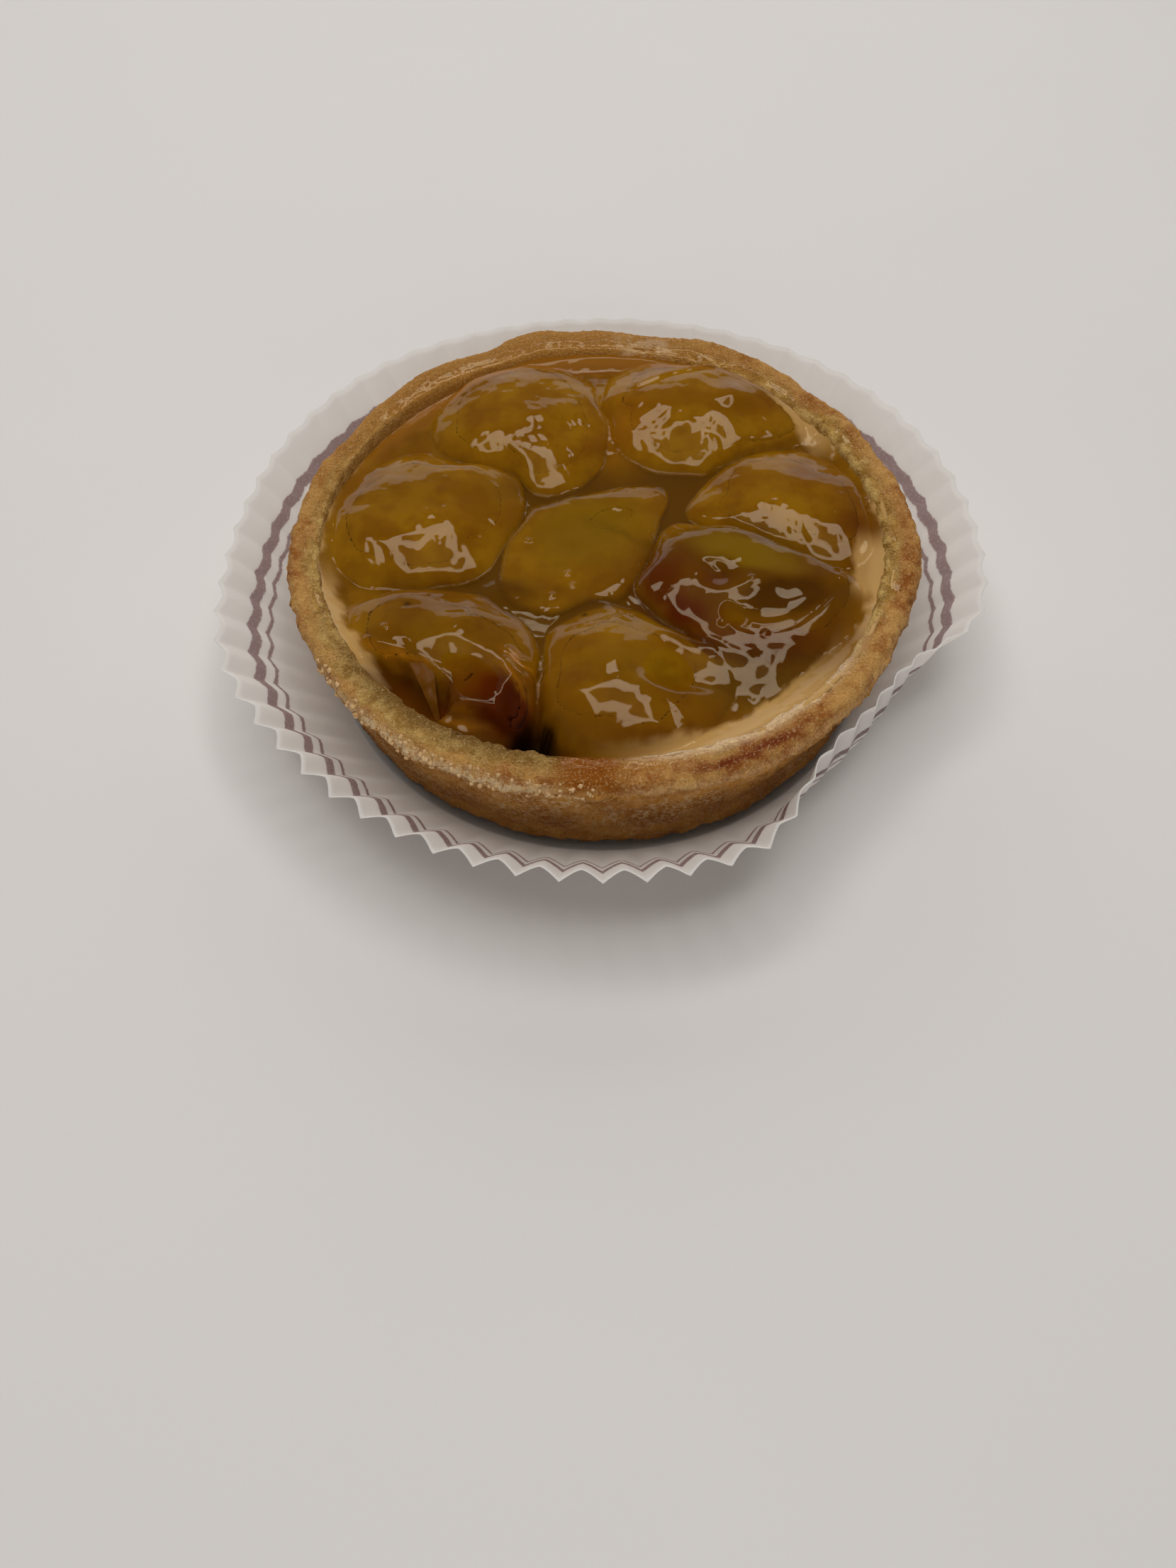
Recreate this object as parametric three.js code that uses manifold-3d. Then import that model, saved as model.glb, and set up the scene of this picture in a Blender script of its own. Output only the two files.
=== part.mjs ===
// Mirabelle plum tartlet: a shortcrust shell filled with eight soft plums set in clear jelly,
// standing in a fluted paper case.
// Millimetres, +Z up. The origin is the middle of the paper case's underside, on the table.
import * as THREE from "three";
import { mergeVertices } from "three/addons/utils/BufferGeometryUtils.js";
import Module from "manifold-3d";

const wasm = await Module();
wasm.setup();

const TURN = 2 * Math.PI;
const GAP = 0.35; // clear space between neighbouring pieces

// Shortcrust shell: radii and heights of its turned section, before the rim is made uneven.
const CRUST = {
  steps: 88,
  underside: 0.65,
  baseRadius: 37.0,
  footRadius: 38.3,
  footHeight: 1.9,
  waistRadius: 39.3,
  waistHeight: 7.0,
  shoulderRadius: 41.1,
  shoulderHeight: 14.5,
  lipRadius: 42.2,
  lipHeight: 17.8,
  edgeRadius: 42.1,
  edgeHeight: 19.3,
  rimRadius: 41.1,
  rimHeight: 20.4,
  slopeRadius: 39.2,
  slopeHeight: 19.7,
};
const BROAD_RIM = { at: -92, wide: 62, inward: 1.5 }; // the rim is broader on this side

// The well in the shell: a floor and a wall that widens upwards.
const WELL = { floor: 5.0, cornerRadius: 34.6, wallBase: 6.6, wallRadius: 36.1, widening: 0.14, top: 18.0 };

// Bumps and dents of the baked rim: direction and half-width in degrees, outward and upward size.
const RIM_MARKS = [
  { at: -3, wide: 12, out: 0.6, up: 0.2 },
  { at: 57, wide: 17, out: 0.9, up: 0.4 },
  { at: 105, wide: 8, out: 0.8, up: 0.6 },
  { at: 155, wide: 15, out: -1.1, up: -0.7 },
  { at: -16, wide: 5, out: 0.5, up: -0.8 },
  { at: -62, wide: 16, out: 0.3, up: -0.6 },
  { at: -115, wide: 13, out: 0.6, up: 0.3 },
];
const RIM_WAVES = [
  { waves: 5, phase: 0.7, out: 0.16, up: 0.2 },
  { waves: 11, phase: 2.1, out: 0.12, up: 0.15 },
  { waves: 19, phase: 4.0, out: 0.09, up: 0.1 },
];

// Paper case: a flat floor and a fluted wall that flares out, pinched against the crust at one side.
const PAPER = {
  thickness: 0.35,
  floorRadius: 38.8,
  tipRadius: 51.6,
  height: 15.2,
  flutes: 64,
  stepsPerFlute: 3,
  deepFlute: 1.8,
  shallowFlute: 0.8,
};
const WALL_RINGS = [0.1, 0.5, 1];
const PAPER_SPREADS = [
  { at: 40, wide: 50, out: 3.0 },
  { at: 132, wide: 28, out: 1.9 },
  { at: -160, wide: 14, out: 1.6 },
];
const DEEP_FLUTES = { at: -102, wide: 62 }; // the flutes stay deep on this side and open out elsewhere
const PINCH = { at: -40, wide: 22, inward: 8.0, lift: 1.8, bow: 1.8, fluteDepth: 0.7 };

// Plums: centre, half length, half width, half height, turn of the long axis in degrees, how much
// one end tapers, and local marks. A mark points along its direction in the plum's own axes and
// pushes the skin in (depth over 0) or out (depth under 0) over a half-width in degrees.
const PLUM_FACETS = 4;
const PLUMS = [
  {
    name: "plum_left", centre: [-24.4, 3.4, 14.2], half: [15.6, 14.2, 7.6], turn: 20, taper: -0.1,
    marks: [{ towards: [0.75, -0.2, 0.65], wide: 26, depth: 0.9 }],
  },
  {
    name: "plum_back_left", centre: [-11.2, 23.4, 14.8], half: [15.6, 13.4, 7.1], turn: 115, taper: 0.05,
    marks: [{ towards: [-0.7, -0.5, 0.5], wide: 25, depth: 0.8 }],
  },
  {
    name: "plum_back_right", centre: [15.8, 24.8, 15.0], half: [17.8, 13.4, 7.3], turn: -10, taper: 0.05,
    marks: [
      { towards: [0.35, 0.15, 0.9], wide: 17, depth: -0.6 },
      { towards: [0.75, -0.2, 0.6], wide: 20, depth: 0.9 },
    ],
  },
  {
    name: "plum_right", centre: [26.2, 5.6, 14.4], half: [15.2, 12.2, 6.9], turn: -18, taper: 0.12,
    marks: [{ towards: [-0.5, -0.3, 0.8], wide: 24, depth: 0.5 }],
  },
  {
    name: "plum_centre", centre: [-1.6, -0.8, 14.6], half: [14.6, 10.2, 4.4], turn: 42, taper: 0.15,
    marks: [
      { towards: [-0.7, -0.15, 0.7], wide: 24, depth: 0.8 },
      { towards: [0.8, 0.1, 0.55], wide: 22, depth: -0.6 },
    ],
  },
  {
    name: "plum_right_split", centre: [19.2, -8.6, 15.0], half: [17.6, 11.6, 7.1], turn: -17, taper: 0.0,
    marks: [
      { towards: [0.7, -0.42, 0.58], wide: 20, depth: 1.2 },
      { towards: [-0.49, -0.3, 0.82], wide: 10, depth: 1.0 },
      { towards: [0.15, -0.25, 0.95], wide: 16, depth: -0.5 },
    ],
  },
  {
    name: "plum_front_left", centre: [-19.4, -20.2, 14.6], half: [16.2, 12.0, 6.9], turn: -32, taper: 0.0,
    marks: [
      { towards: [-0.35, -0.88, 0.3], wide: 27, depth: 3.4 },
      { towards: [0.7, -0.5, 0.5], wide: 18, depth: -0.8 },
      { towards: [-0.1, 0.35, 0.9], wide: 24, depth: -0.5 },
    ],
  },
  {
    name: "plum_front", centre: [3.0, -24.4, 13.8], half: [13.0, 12.6, 8.0], turn: -30, taper: 0.0,
    marks: [{ towards: [0.7, 0.1, 0.65], wide: 25, depth: 0.6 }],
  },
];
const PLUM_FLOOR = WELL.floor + 1.6;
const PLUM_WALL_GAP = 1.0; // room for a film of jelly between a plum and the shell
const NEIGHBOUR_REACH = 42; // centres further apart than this never touch
const PRESS_SHARPNESS = 14; // how tightly a plum rounds over where something presses on it

// Jelly between the plums: its level, and the places where it stands lower.
const JELLY = { level: 17.7, steps: 40, topRings: 6, underside: WELL.floor + GAP };
const JELLY_MARKS = [
  { centre: [-8.8, -32.8], wide: 4.2, rise: -7.2 },
  { centre: [2, 12], wide: 7.0, rise: -0.6 },
  { centre: [-8.2, -24.5], wide: 4.0, rise: -1.7 },
];

const MATERIALS = {
  paper: new THREE.MeshStandardMaterial({ color: 0xe6e2dc, roughness: 0.9, metalness: 0 }),
  crust: new THREE.MeshStandardMaterial({ color: 0xb98543, roughness: 0.85, metalness: 0 }),
  plum: new THREE.MeshStandardMaterial({ color: 0x96681a, roughness: 0.2, metalness: 0 }),
  jelly: new THREE.MeshStandardMaterial({ color: 0x7a5516, roughness: 0.1, metalness: 0 }),
};

const clamp = THREE.MathUtils.clamp;
const lerp = THREE.MathUtils.lerp;
const radians = THREE.MathUtils.degToRad;

// A smooth bump of height 1 round one direction; a higher power gives it a flatter top.
function bell(angle, centreDegrees, halfWidthDegrees, power = 2) {
  const turn = angle - radians(centreDegrees);
  const offset = Math.abs(Math.atan2(Math.sin(turn), Math.cos(turn)));
  return Math.exp(-((offset / radians(halfWidthDegrees)) ** power));
}

function polar(radius, angle, height) {
  return new THREE.Vector3(radius * Math.cos(angle), radius * Math.sin(angle), height);
}

function ring(steps, pointAt) {
  return Array.from({ length: steps }, (_, i) => pointAt((TURN * i) / steps));
}

// A closed skin from a bottom point through equal rings, outwards and up, to a top point.
function loft(bottom, rings, top) {
  const steps = rings[0].length;
  const points = [bottom, ...rings.flat(), top];
  const at = (level, i) => 1 + level * steps + (i % steps);
  const faces = [];
  for (let i = 0; i < steps; i++) {
    faces.push(0, at(0, i + 1), at(0, i));
    for (let level = 0; level + 1 < rings.length; level++) {
      faces.push(at(level, i), at(level, i + 1), at(level + 1, i + 1));
      faces.push(at(level, i), at(level + 1, i + 1), at(level + 1, i));
    }
    faces.push(points.length - 1, at(rings.length - 1, i), at(rings.length - 1, i + 1));
  }
  return new THREE.BufferGeometry().setFromPoints(points).setIndex(faces);
}

function toSolid(geometry) {
  const bare = geometry.clone();
  bare.deleteAttribute("normal");
  bare.deleteAttribute("uv");
  const merged = mergeVertices(bare);
  const vertProperties = Float32Array.from(merged.attributes.position.array);
  const triVerts = Uint32Array.from(merged.index.array);
  return new wasm.Manifold(new wasm.Mesh({ numProp: 3, vertProperties, triVerts }));
}

function toGeometry(solid) {
  const mesh = solid.getMesh();
  const positions = new THREE.Float32BufferAttribute(mesh.vertProperties, mesh.numProp);
  return new THREE.BufferGeometry().setAttribute("position", positions).setIndex([...mesh.triVerts]);
}

function wellRadius(height) {
  return WELL.wallRadius + WELL.widening * (height - WELL.wallBase);
}

// How far the rim stands out and up at an angle.
function rimUnevenness(angle) {
  const total = { out: 0, up: 0 };
  for (const mark of RIM_MARKS) {
    const share = bell(angle, mark.at, mark.wide);
    total.out += mark.out * share;
    total.up += mark.up * share;
  }
  for (const wave of RIM_WAVES) {
    const share = Math.sin(wave.waves * angle + wave.phase);
    total.out += wave.out * share;
    total.up += wave.up * share;
  }
  return total;
}

function crustGeometry() {
  const c = CRUST;
  // Each section point: radius, height, and its shares of the rim's outward and upward unevenness.
  const section = [
    [c.baseRadius, c.underside, 0, 0],
    [c.footRadius, c.footHeight, 0.05, 0],
    [c.waistRadius, c.waistHeight, 0.25, 0],
    [c.shoulderRadius, c.shoulderHeight, 0.7, 0.3],
    [c.lipRadius, c.lipHeight, 1, 0.7],
    [c.edgeRadius, c.edgeHeight, 1, 1],
    [c.rimRadius, c.rimHeight, 0.9, 1],
    [c.slopeRadius, c.slopeHeight, 0.5, 0.8],
    [wellRadius(WELL.top), WELL.top, 0, 0],
    [wellRadius(WELL.wallBase), WELL.wallBase, 0, 0],
    [WELL.cornerRadius, WELL.floor, 0, 0],
  ];
  const broadened = section.findIndex(([radius]) => radius === c.slopeRadius);
  const rings = section.map(([radius, height, outShare, upShare], level) =>
    ring(c.steps, (angle) => {
      const uneven = rimUnevenness(angle);
      const inward = level === broadened ? BROAD_RIM.inward * bell(angle, BROAD_RIM.at, BROAD_RIM.wide) : 0;
      return polar(radius - inward + outShare * uneven.out, angle, height + upShare * uneven.up);
    }),
  );
  return loft(polar(0, 0, c.underside), rings, polar(0, 0, WELL.floor));
}

// The paper wall's inner side at an angle and a share of the way up, before its flutes.
function paperWall(angle, share) {
  const pinch = bell(angle, PINCH.at, PINCH.wide, 4);
  let tip = PAPER.tipRadius - PINCH.inward * pinch;
  for (const spread of PAPER_SPREADS) tip += spread.out * bell(angle, spread.at, spread.wide);
  const bow = PINCH.bow * pinch * Math.sin(Math.PI * share);
  const height = PAPER.height + PINCH.lift * pinch;
  const deep = bell(angle, DEEP_FLUTES.at, DEEP_FLUTES.wide, 4);
  const fluteDepth = lerp(lerp(PAPER.shallowFlute, PAPER.deepFlute, deep), PINCH.fluteDepth, pinch);
  return {
    radius: lerp(PAPER.floorRadius, tip, share) + bow,
    height: lerp(PAPER.thickness, height, share),
    fluteDepth: fluteDepth * share,
  };
}

// Flutes have sharp tips outside and round hollows inside.
function paperPoint(angle, share, outward) {
  const wall = paperWall(angle, share);
  const inward = wall.fluteDepth * Math.abs(Math.sin((PAPER.flutes * angle) / 2));
  const below = paperWall(angle, Math.max(share - 0.05, 0));
  const above = paperWall(angle, share + 0.05);
  const lean = Math.atan2(above.radius - below.radius, above.height - below.height);
  const radius = wall.radius - inward + outward * Math.cos(lean);
  return polar(radius, angle, wall.height - outward * Math.sin(lean));
}

function paperGeometry() {
  const steps = PAPER.flutes * PAPER.stepsPerFlute;
  const flat = (height) => ring(steps, (angle) => polar(PAPER.floorRadius, angle, height));
  const wall = (share, outward) => ring(steps, (angle) => paperPoint(angle, share, outward));
  const outside = WALL_RINGS.map((share) => wall(share, PAPER.thickness));
  const inside = WALL_RINGS.map((share) => wall(share, 0)).reverse();
  const rings = [flat(0), ...outside, ...inside, flat(PAPER.thickness)];
  return loft(polar(0, 0, 0), rings, polar(0, 0, PAPER.thickness));
}

// Distance from a plum's centre to its free skin along a direction in the plum's own axes.
function freeReach(plum, own) {
  const [long, wide, high] = plum.half;
  const width = wide * (1 - plum.taper * own.x);
  let reach = 1 / Math.hypot(own.x / long, own.y / width, own.z / high);
  for (const mark of plum.marks) {
    const towards = new THREE.Vector3(...mark.towards).normalize();
    const apart = own.angleTo(towards) / radians(mark.wide);
    reach -= mark.depth * Math.exp(-(apart ** 2));
  }
  return reach;
}

function ownDirection(plum, direction) {
  return direction.clone().applyAxisAngle(new THREE.Vector3(0, 0, 1), -radians(plum.turn));
}

// Planes that keep a plum clear of its neighbours, halfway where both press equally.
function neighbourPlanes(plum) {
  const centre = new THREE.Vector3(...plum.centre);
  const planes = [];
  for (const other of PLUMS) {
    const between = new THREE.Vector3(...other.centre).sub(centre);
    const apart = between.length();
    if (other === plum || apart > NEIGHBOUR_REACH) continue;
    const normal = between.normalize();
    const mine = freeReach(plum, ownDirection(plum, normal));
    const theirs = freeReach(other, ownDirection(other, normal.clone().negate()));
    planes.push({ normal, reach: (apart * mine) / (mine + theirs) - GAP / 2 });
  }
  return planes;
}

// Distance along a direction from a plum's centre to the film of jelly on the well's wall.
function wallReach(plum, direction) {
  const [x, y, z] = plum.centre;
  const limit = wellRadius(z) - PLUM_WALL_GAP;
  const slope = WELL.widening * direction.z;
  const a = direction.x ** 2 + direction.y ** 2 - slope ** 2;
  const b = x * direction.x + y * direction.y - limit * slope;
  const c = x ** 2 + y ** 2 - limit ** 2;
  return a > 1e-6 ? (-b + Math.sqrt(b * b - a * c)) / a : Infinity;
}

// Rounded least of several distances: never more than the smallest.
function roundedLeast(distances) {
  const sum = distances.reduce((total, distance) => total + distance ** -PRESS_SHARPNESS, 0);
  return sum ** (-1 / PRESS_SHARPNESS);
}

function plumGeometry(plum, margin = 0) {
  const planes = neighbourPlanes(plum);
  const centre = new THREE.Vector3(...plum.centre);
  const geometry = new THREE.IcosahedronGeometry(1, PLUM_FACETS);
  const positions = geometry.attributes.position;
  const direction = new THREE.Vector3();
  for (let i = 0; i < positions.count; i++) {
    direction.fromBufferAttribute(positions, i).normalize();
    const limits = [freeReach(plum, ownDirection(plum, direction)), wallReach(plum, direction)];
    if (direction.z < 0) limits.push((PLUM_FLOOR - centre.z) / direction.z);
    for (const plane of planes) {
      const facing = plane.normal.dot(direction);
      if (facing > 0) limits.push(plane.reach / facing);
    }
    direction.multiplyScalar(roundedLeast(limits) + margin).add(centre);
    positions.setXYZ(i, direction.x, direction.y, direction.z);
  }
  return geometry;
}

function jellyHeight(x, y) {
  let height = JELLY.level;
  for (const mark of JELLY_MARKS) {
    const apart = Math.hypot(x - mark.centre[0], y - mark.centre[1]) / mark.wide;
    height += mark.rise * Math.exp(-(apart ** 2));
  }
  return clamp(height, JELLY.underside + 1, WELL.top);
}

function jellyGeometry() {
  const edgeRadius = (height) => wellRadius(height) - GAP;
  const floorEdge = WELL.cornerRadius - GAP;
  const bottom = ring(JELLY.steps, (angle) => polar(floorEdge, angle, JELLY.underside));
  const corner = ring(JELLY.steps, (angle) => polar(edgeRadius(WELL.wallBase), angle, WELL.wallBase + GAP));
  const top = Array.from({ length: JELLY.topRings }, (_, i) =>
    ring(JELLY.steps, (angle) => {
      const share = (JELLY.topRings - i) / JELLY.topRings;
      const outer = edgeRadius(JELLY.level);
      const edgeHeight = jellyHeight(outer * Math.cos(angle), outer * Math.sin(angle));
      const radius = share * edgeRadius(Math.min(edgeHeight, JELLY.level));
      return polar(radius, angle, jellyHeight(radius * Math.cos(angle), radius * Math.sin(angle)));
    }),
  );
  const pool = loft(polar(0, 0, JELLY.underside), [bottom, corner, ...top], polar(0, 0, jellyHeight(0, 0)));
  let solid = toSolid(pool);
  for (const plum of PLUMS) solid = solid.subtract(toSolid(plumGeometry(plum, GAP)));
  return toGeometry(solid);
}

function piece(name, geometry, material) {
  const mesh = new THREE.Mesh(geometry, material);
  mesh.name = name;
  return mesh;
}

const tartlet = new THREE.Group();
tartlet.add(piece("paper_case", paperGeometry(), MATERIALS.paper));
tartlet.add(piece("crust", crustGeometry(), MATERIALS.crust));
for (const plum of PLUMS) tartlet.add(piece(plum.name, plumGeometry(plum), MATERIALS.plum));
tartlet.add(piece("jelly", jellyGeometry(), MATERIALS.jelly));

export default tartlet;
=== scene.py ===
"""Mirabelle plum tartlet in its fluted paper case: fine forms, finishes, camera and studio light.

Named sizes are millimetres and become metres where the meshes are made.
"""
import math
from collections import namedtuple

import bmesh
import bpy
import numpy as np
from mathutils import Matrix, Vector, noise
from mathutils.bvhtree import BVHTree


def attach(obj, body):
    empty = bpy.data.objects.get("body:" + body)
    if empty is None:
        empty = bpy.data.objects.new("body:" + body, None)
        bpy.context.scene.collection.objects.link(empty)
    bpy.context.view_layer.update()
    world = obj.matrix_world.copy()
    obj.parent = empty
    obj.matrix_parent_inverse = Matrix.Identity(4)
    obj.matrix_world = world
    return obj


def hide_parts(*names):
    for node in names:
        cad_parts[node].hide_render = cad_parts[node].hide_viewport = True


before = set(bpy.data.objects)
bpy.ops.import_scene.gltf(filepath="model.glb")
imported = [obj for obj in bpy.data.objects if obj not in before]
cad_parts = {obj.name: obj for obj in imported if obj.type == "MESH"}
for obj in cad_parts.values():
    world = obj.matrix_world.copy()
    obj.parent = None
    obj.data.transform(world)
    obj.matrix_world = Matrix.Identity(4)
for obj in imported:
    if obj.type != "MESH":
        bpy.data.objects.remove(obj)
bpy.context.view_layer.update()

MM = 0.001
TURN = 2 * math.pi
UP = Vector((0, 0, 1))
FAR = 1e9
TINY = 1e-6
NOTHING_BELOW = -99.0
NOISE_SHIFT = (17.3, 5.1, 9.7)
OCTAVE_FADE = 1.0
OCTAVE_FINENESS = 2.0
# Power that gives a bump a flat top.
FLAT_TOP = 4
# A form seen from above: centre, half sizes along and across its turn in degrees, rise or strength, and
# a power that is higher for a flatter top and a sharper edge.
Form = namedtuple("Form", "x y long wide turn up power")
# Unevenness: the size of its lumps, how far they reach, its octaves and its seed.
Lumps = namedtuple("Lumps", "size reach octaves seed")

# Camera: the photograph's pinhole view, aimed at a point on the floor.
IMAGE_HEIGHT = 2212
FOCAL_PIXELS = 1660
SENSOR = 36.0
CAMERA_PITCH = 56.8
CAMERA_DISTANCE = 160.2
LOOK_AT = (-1.73, -28.3, 0.0)
CLIP_START = 5.0

# Studio light: an overhead frame of soft strips and a long far wall that the gloss shows, broad fills
# that it does not, and a dim room.
LIGHT_CENTRE = (-30.0, 70.0, 640.0)
LIGHT_SIZE = (560.0, 540.0)
LIGHT_STRIP = 125.0
STRIP_RADIANCE = 4.35
MIDDLE_RADIANCE = 0.2
WALL_CENTRE = (-60.0, 1000.0, 230.0)
WALL_SIZE = (2600.0, 420.0)
WALL_RADIANCE = 0.62
FILLS = [
    dict(centre=(0.0, 900.0, 500.0), size=(1800.0, 600.0), radiance=1.25),
    dict(centre=(0.0, -900.0, 240.0), size=(1600.0, 600.0), radiance=1.2),
]
LIGHT_COLOUR = (1.0, 0.985, 0.97)
ROOM_STRENGTH = 0.085
FLOOR_SIZE = 2400.0
FLOOR_COLOURS = ((221, 217, 214), (224, 220, 217))

# Shortcrust shell: section points with radius, height, and shares of the rim's unevenness out and up,
# then the rows from each point to the next, and the point that the broad front of the rim moves inwards.
CRUST_STEPS = 900
WELL_FLOOR = 5.0
WELL_TOP = 18.0
WALL_BASE = 6.6
WALL_RADIUS = 36.1
WALL_WIDENING = 0.14
CRUST_SECTION = [
    (37.0, 0.65, 0.0, 0.0),
    (38.3, 1.9, 0.05, 0.0),
    (39.3, 7.0, 0.25, 0.0),
    (41.1, 14.5, 0.7, 0.3),
    (42.2, 17.8, 1.0, 0.7),
    (42.1, 19.3, 1.0, 1.0),
    (41.1, 20.4, 0.9, 1.0),
    (39.2, 19.7, 0.5, 0.8),
    (WALL_RADIUS + WALL_WIDENING * (WELL_TOP - WALL_BASE), WELL_TOP, 0.0, 0.0),
    (WALL_RADIUS, WALL_BASE, 0.0, 0.0),
    (34.6, WELL_FLOOR, 0.0, 0.0),
]
SECTION_SPLITS = [5, 15, 22, 11, 7, 7, 8, 8, 7, 2]
SLOPE_POINT = 7
BROAD_RIM = dict(at=-92, wide=62, inward=1.5)
RIM_MARKS = [
    dict(at=-3, wide=12, out=0.6, up=0.2),
    dict(at=57, wide=17, out=0.9, up=0.4),
    dict(at=105, wide=8, out=0.8, up=0.6),
    dict(at=155, wide=15, out=-1.1, up=-0.7),
    dict(at=-16, wide=5, out=0.5, up=-0.8),
    dict(at=-62, wide=16, out=0.3, up=-0.6),
    dict(at=-115, wide=13, out=0.6, up=0.3),
]
RIM_WAVES = [
    dict(waves=5, phase=0.7, out=0.16, up=0.2),
    dict(waves=11, phase=2.1, out=0.12, up=0.15),
    dict(waves=19, phase=4.0, out=0.09, up=0.1),
]
CRACK = dict(at=-17, wide=0.8, deep=0.9, place=4.6, spread=0.8)
# Stretches of the crust along its section, counted in section points: start, full, fade and end.
OUTER_WALL = (0.3, 1.0, 4.0, 5.0)
RIM = (3.6, 4.6, 7.4, 8.4)
BROKEN_SLOPE = (5.4, 6.2, 7.2, 8.0)
# Stretches of the crust round the tartlet: direction and half-width in degrees.
FLOURY_RIDGE = dict(at=-119, wide=25)
CRUMBLY_FRONT = dict(at=-80, wide=70, share=0.55)
CRUMBLY_EDGE = dict(place=4.8, spread=0.5)
BROKEN_FRONT = dict(at=-114, wide=30)
WIDE_INNER = dict(at=-126, wide=34, early=0.8)
# Painted shade: the inner face at the front left is darkened.
SHADED_INNER = dict(at=-122, wide=28)
GLAZED_BACK = dict(at=112, wide=58, share=0.9, calm=0.7)
# Partly the pale run's own colour and partly painted sheen.
PALE_RUN_AND_SHEEN = dict(at=-60, wide=24)
# Painted reflections on the glaze drips on the back inner wall.
PALE_DRIP_SHEEN = dict(at=80, wide=6, share=0.4, lumps=Lumps(2.2, 1.0, 2, 19), gaps=(-0.1, 0.3))
ORANGE_DRIP = dict(at=-92, wide=6)
BURNT_LINE = dict(at=-64, wide=12, place=6.15, spread=0.26, ragged=0.3)
# Where each finish sets in along the section: start and full.
FINISH_STARTS = dict(
    flour=(0.8, 3.0), rim=(4.4, 5.0), orange=(4.9, 5.6), glazed=(5.3, 6.0), drip_sheen=(6.0, 6.6),
    shade=(6.0, 7.0), inner=(6.4, 7.3), pale=(6.5, 7.0),
)
# How far the finishes' edges wander along the section, how flour lies on the wall, and its share on the
# crumbly edge away from the ridge.
RAGGED_EDGE = Lumps(3.0, 0.5, 3, 16)
FLOUR_CLOUDS = Lumps(9.0, 0.6, 2, 14)
FLOUR_LEAST = 0.62
FLOURY_SHARE = 0.5
# Lumps of the crust. The crumbly edge stands out by a least height too.
CRUST_LUMPS = dict(
    swells=Lumps(6.0, 0.22, 2, 11),
    rim=Lumps(2.0, 0.3, 3, 12),
    wall=Lumps(1.4, 0.32, 3, 15),
    grain=Lumps(0.8, 0.12, 2, 17),
    crumble=Lumps(1.2, 0.8, 2, 13),
    broken=Lumps(1.7, 0.4, 3, 18),
)
CRUMBLE_LEAST = 0.24
CRUST_COLOURS = dict(
    wall_dark=(154, 94, 24), wall_light=(194, 134, 56), wall_speck=(108, 66, 24),
    baked_light=(196, 146, 78), baked_dark=(150, 88, 30), cream_dark=(146, 106, 42),
    cream_light=(200, 164, 94), flour=(220, 190, 146), fleck_light=(216, 182, 130), fleck_dark=(112, 66, 20),
)
CRUST_TINTS = [
    # shade: painted shade on the inner face at the front left.
    ("shade", (118, 84, 32)),
    ("glazed", (174, 122, 54)),
    # pale: the run's own colour with painted sheen, and painted reflections on the back drips.
    ("pale", (236, 208, 178)),
    ("orange", (142, 78, 3)),
    ("caramel", (112, 42, 2)),
]
CRUMBS = dict(seed=5, count=150, at=-119, wide=28, rows=(54, 65), size=(0.12, 0.36), stretch=(0.7, 1.2))
CRUMB_SPLITS = 2
CRUMB_LUMPS = Lumps(0.8, 0.45, 2, 0)
CRUMB_NOISE_STEP = 3.7
CRUMB_COLOURS = ((176, 124, 62), (224, 196, 150))

# Paper case.
PAPER_THICKNESS = 0.35
PAPER_SHEET = 0.16
PAPER_FLOOR_RADIUS = 38.8
PAPER_TIP_RADIUS = 51.6
PAPER_HEIGHT = 15.2
FLUTES = 64
STEPS_PER_FLUTE = 12
PLEAT_SHARPNESS = 0.45
DEEP_FLUTE = 1.8
SHALLOW_FLUTE = 0.8
DEEP_FLUTES = dict(at=-102, wide=62)
PAPER_RINGS = 22
PAPER_SPREADS = [
    dict(at=40, wide=50, out=3.0),
    dict(at=132, wide=28, out=1.9),
    dict(at=-160, wide=14, out=1.6),
]
PINCH = dict(at=-40, wide=22, inward=8.0, lift=1.8, bow=1.8, flute_depth=0.7)
PAPER_FIRST_RING = 0.04
LEAN_STEP = 0.05
PLEAT_GAP = 0.05
PLEAT_WANDER = dict(radius=9.0, rise=3.0, sideways=0.03, inward=0.25)
PLEAT_LUMPS = Lumps(2.0, 0.1, 1, 3)
CREASES = Lumps(6.0, 0.06, 2, 5)
PAPER_COLOURS = ((246, 243, 239), (251, 249, 246))
PAPER_TRANSLUCENCY = 0.52
# Printed stripes, as shares of the way up the wall, and the ink seen from inside and from outside.
STRIPES = ((0.675, 0.755), (0.575, 0.605))
STRIPE_BLUR = 0.006
INK_COLOURS = ((176, 144, 144), (140, 108, 108))
INK_STRENGTH = (0.58, 0.82)

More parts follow.
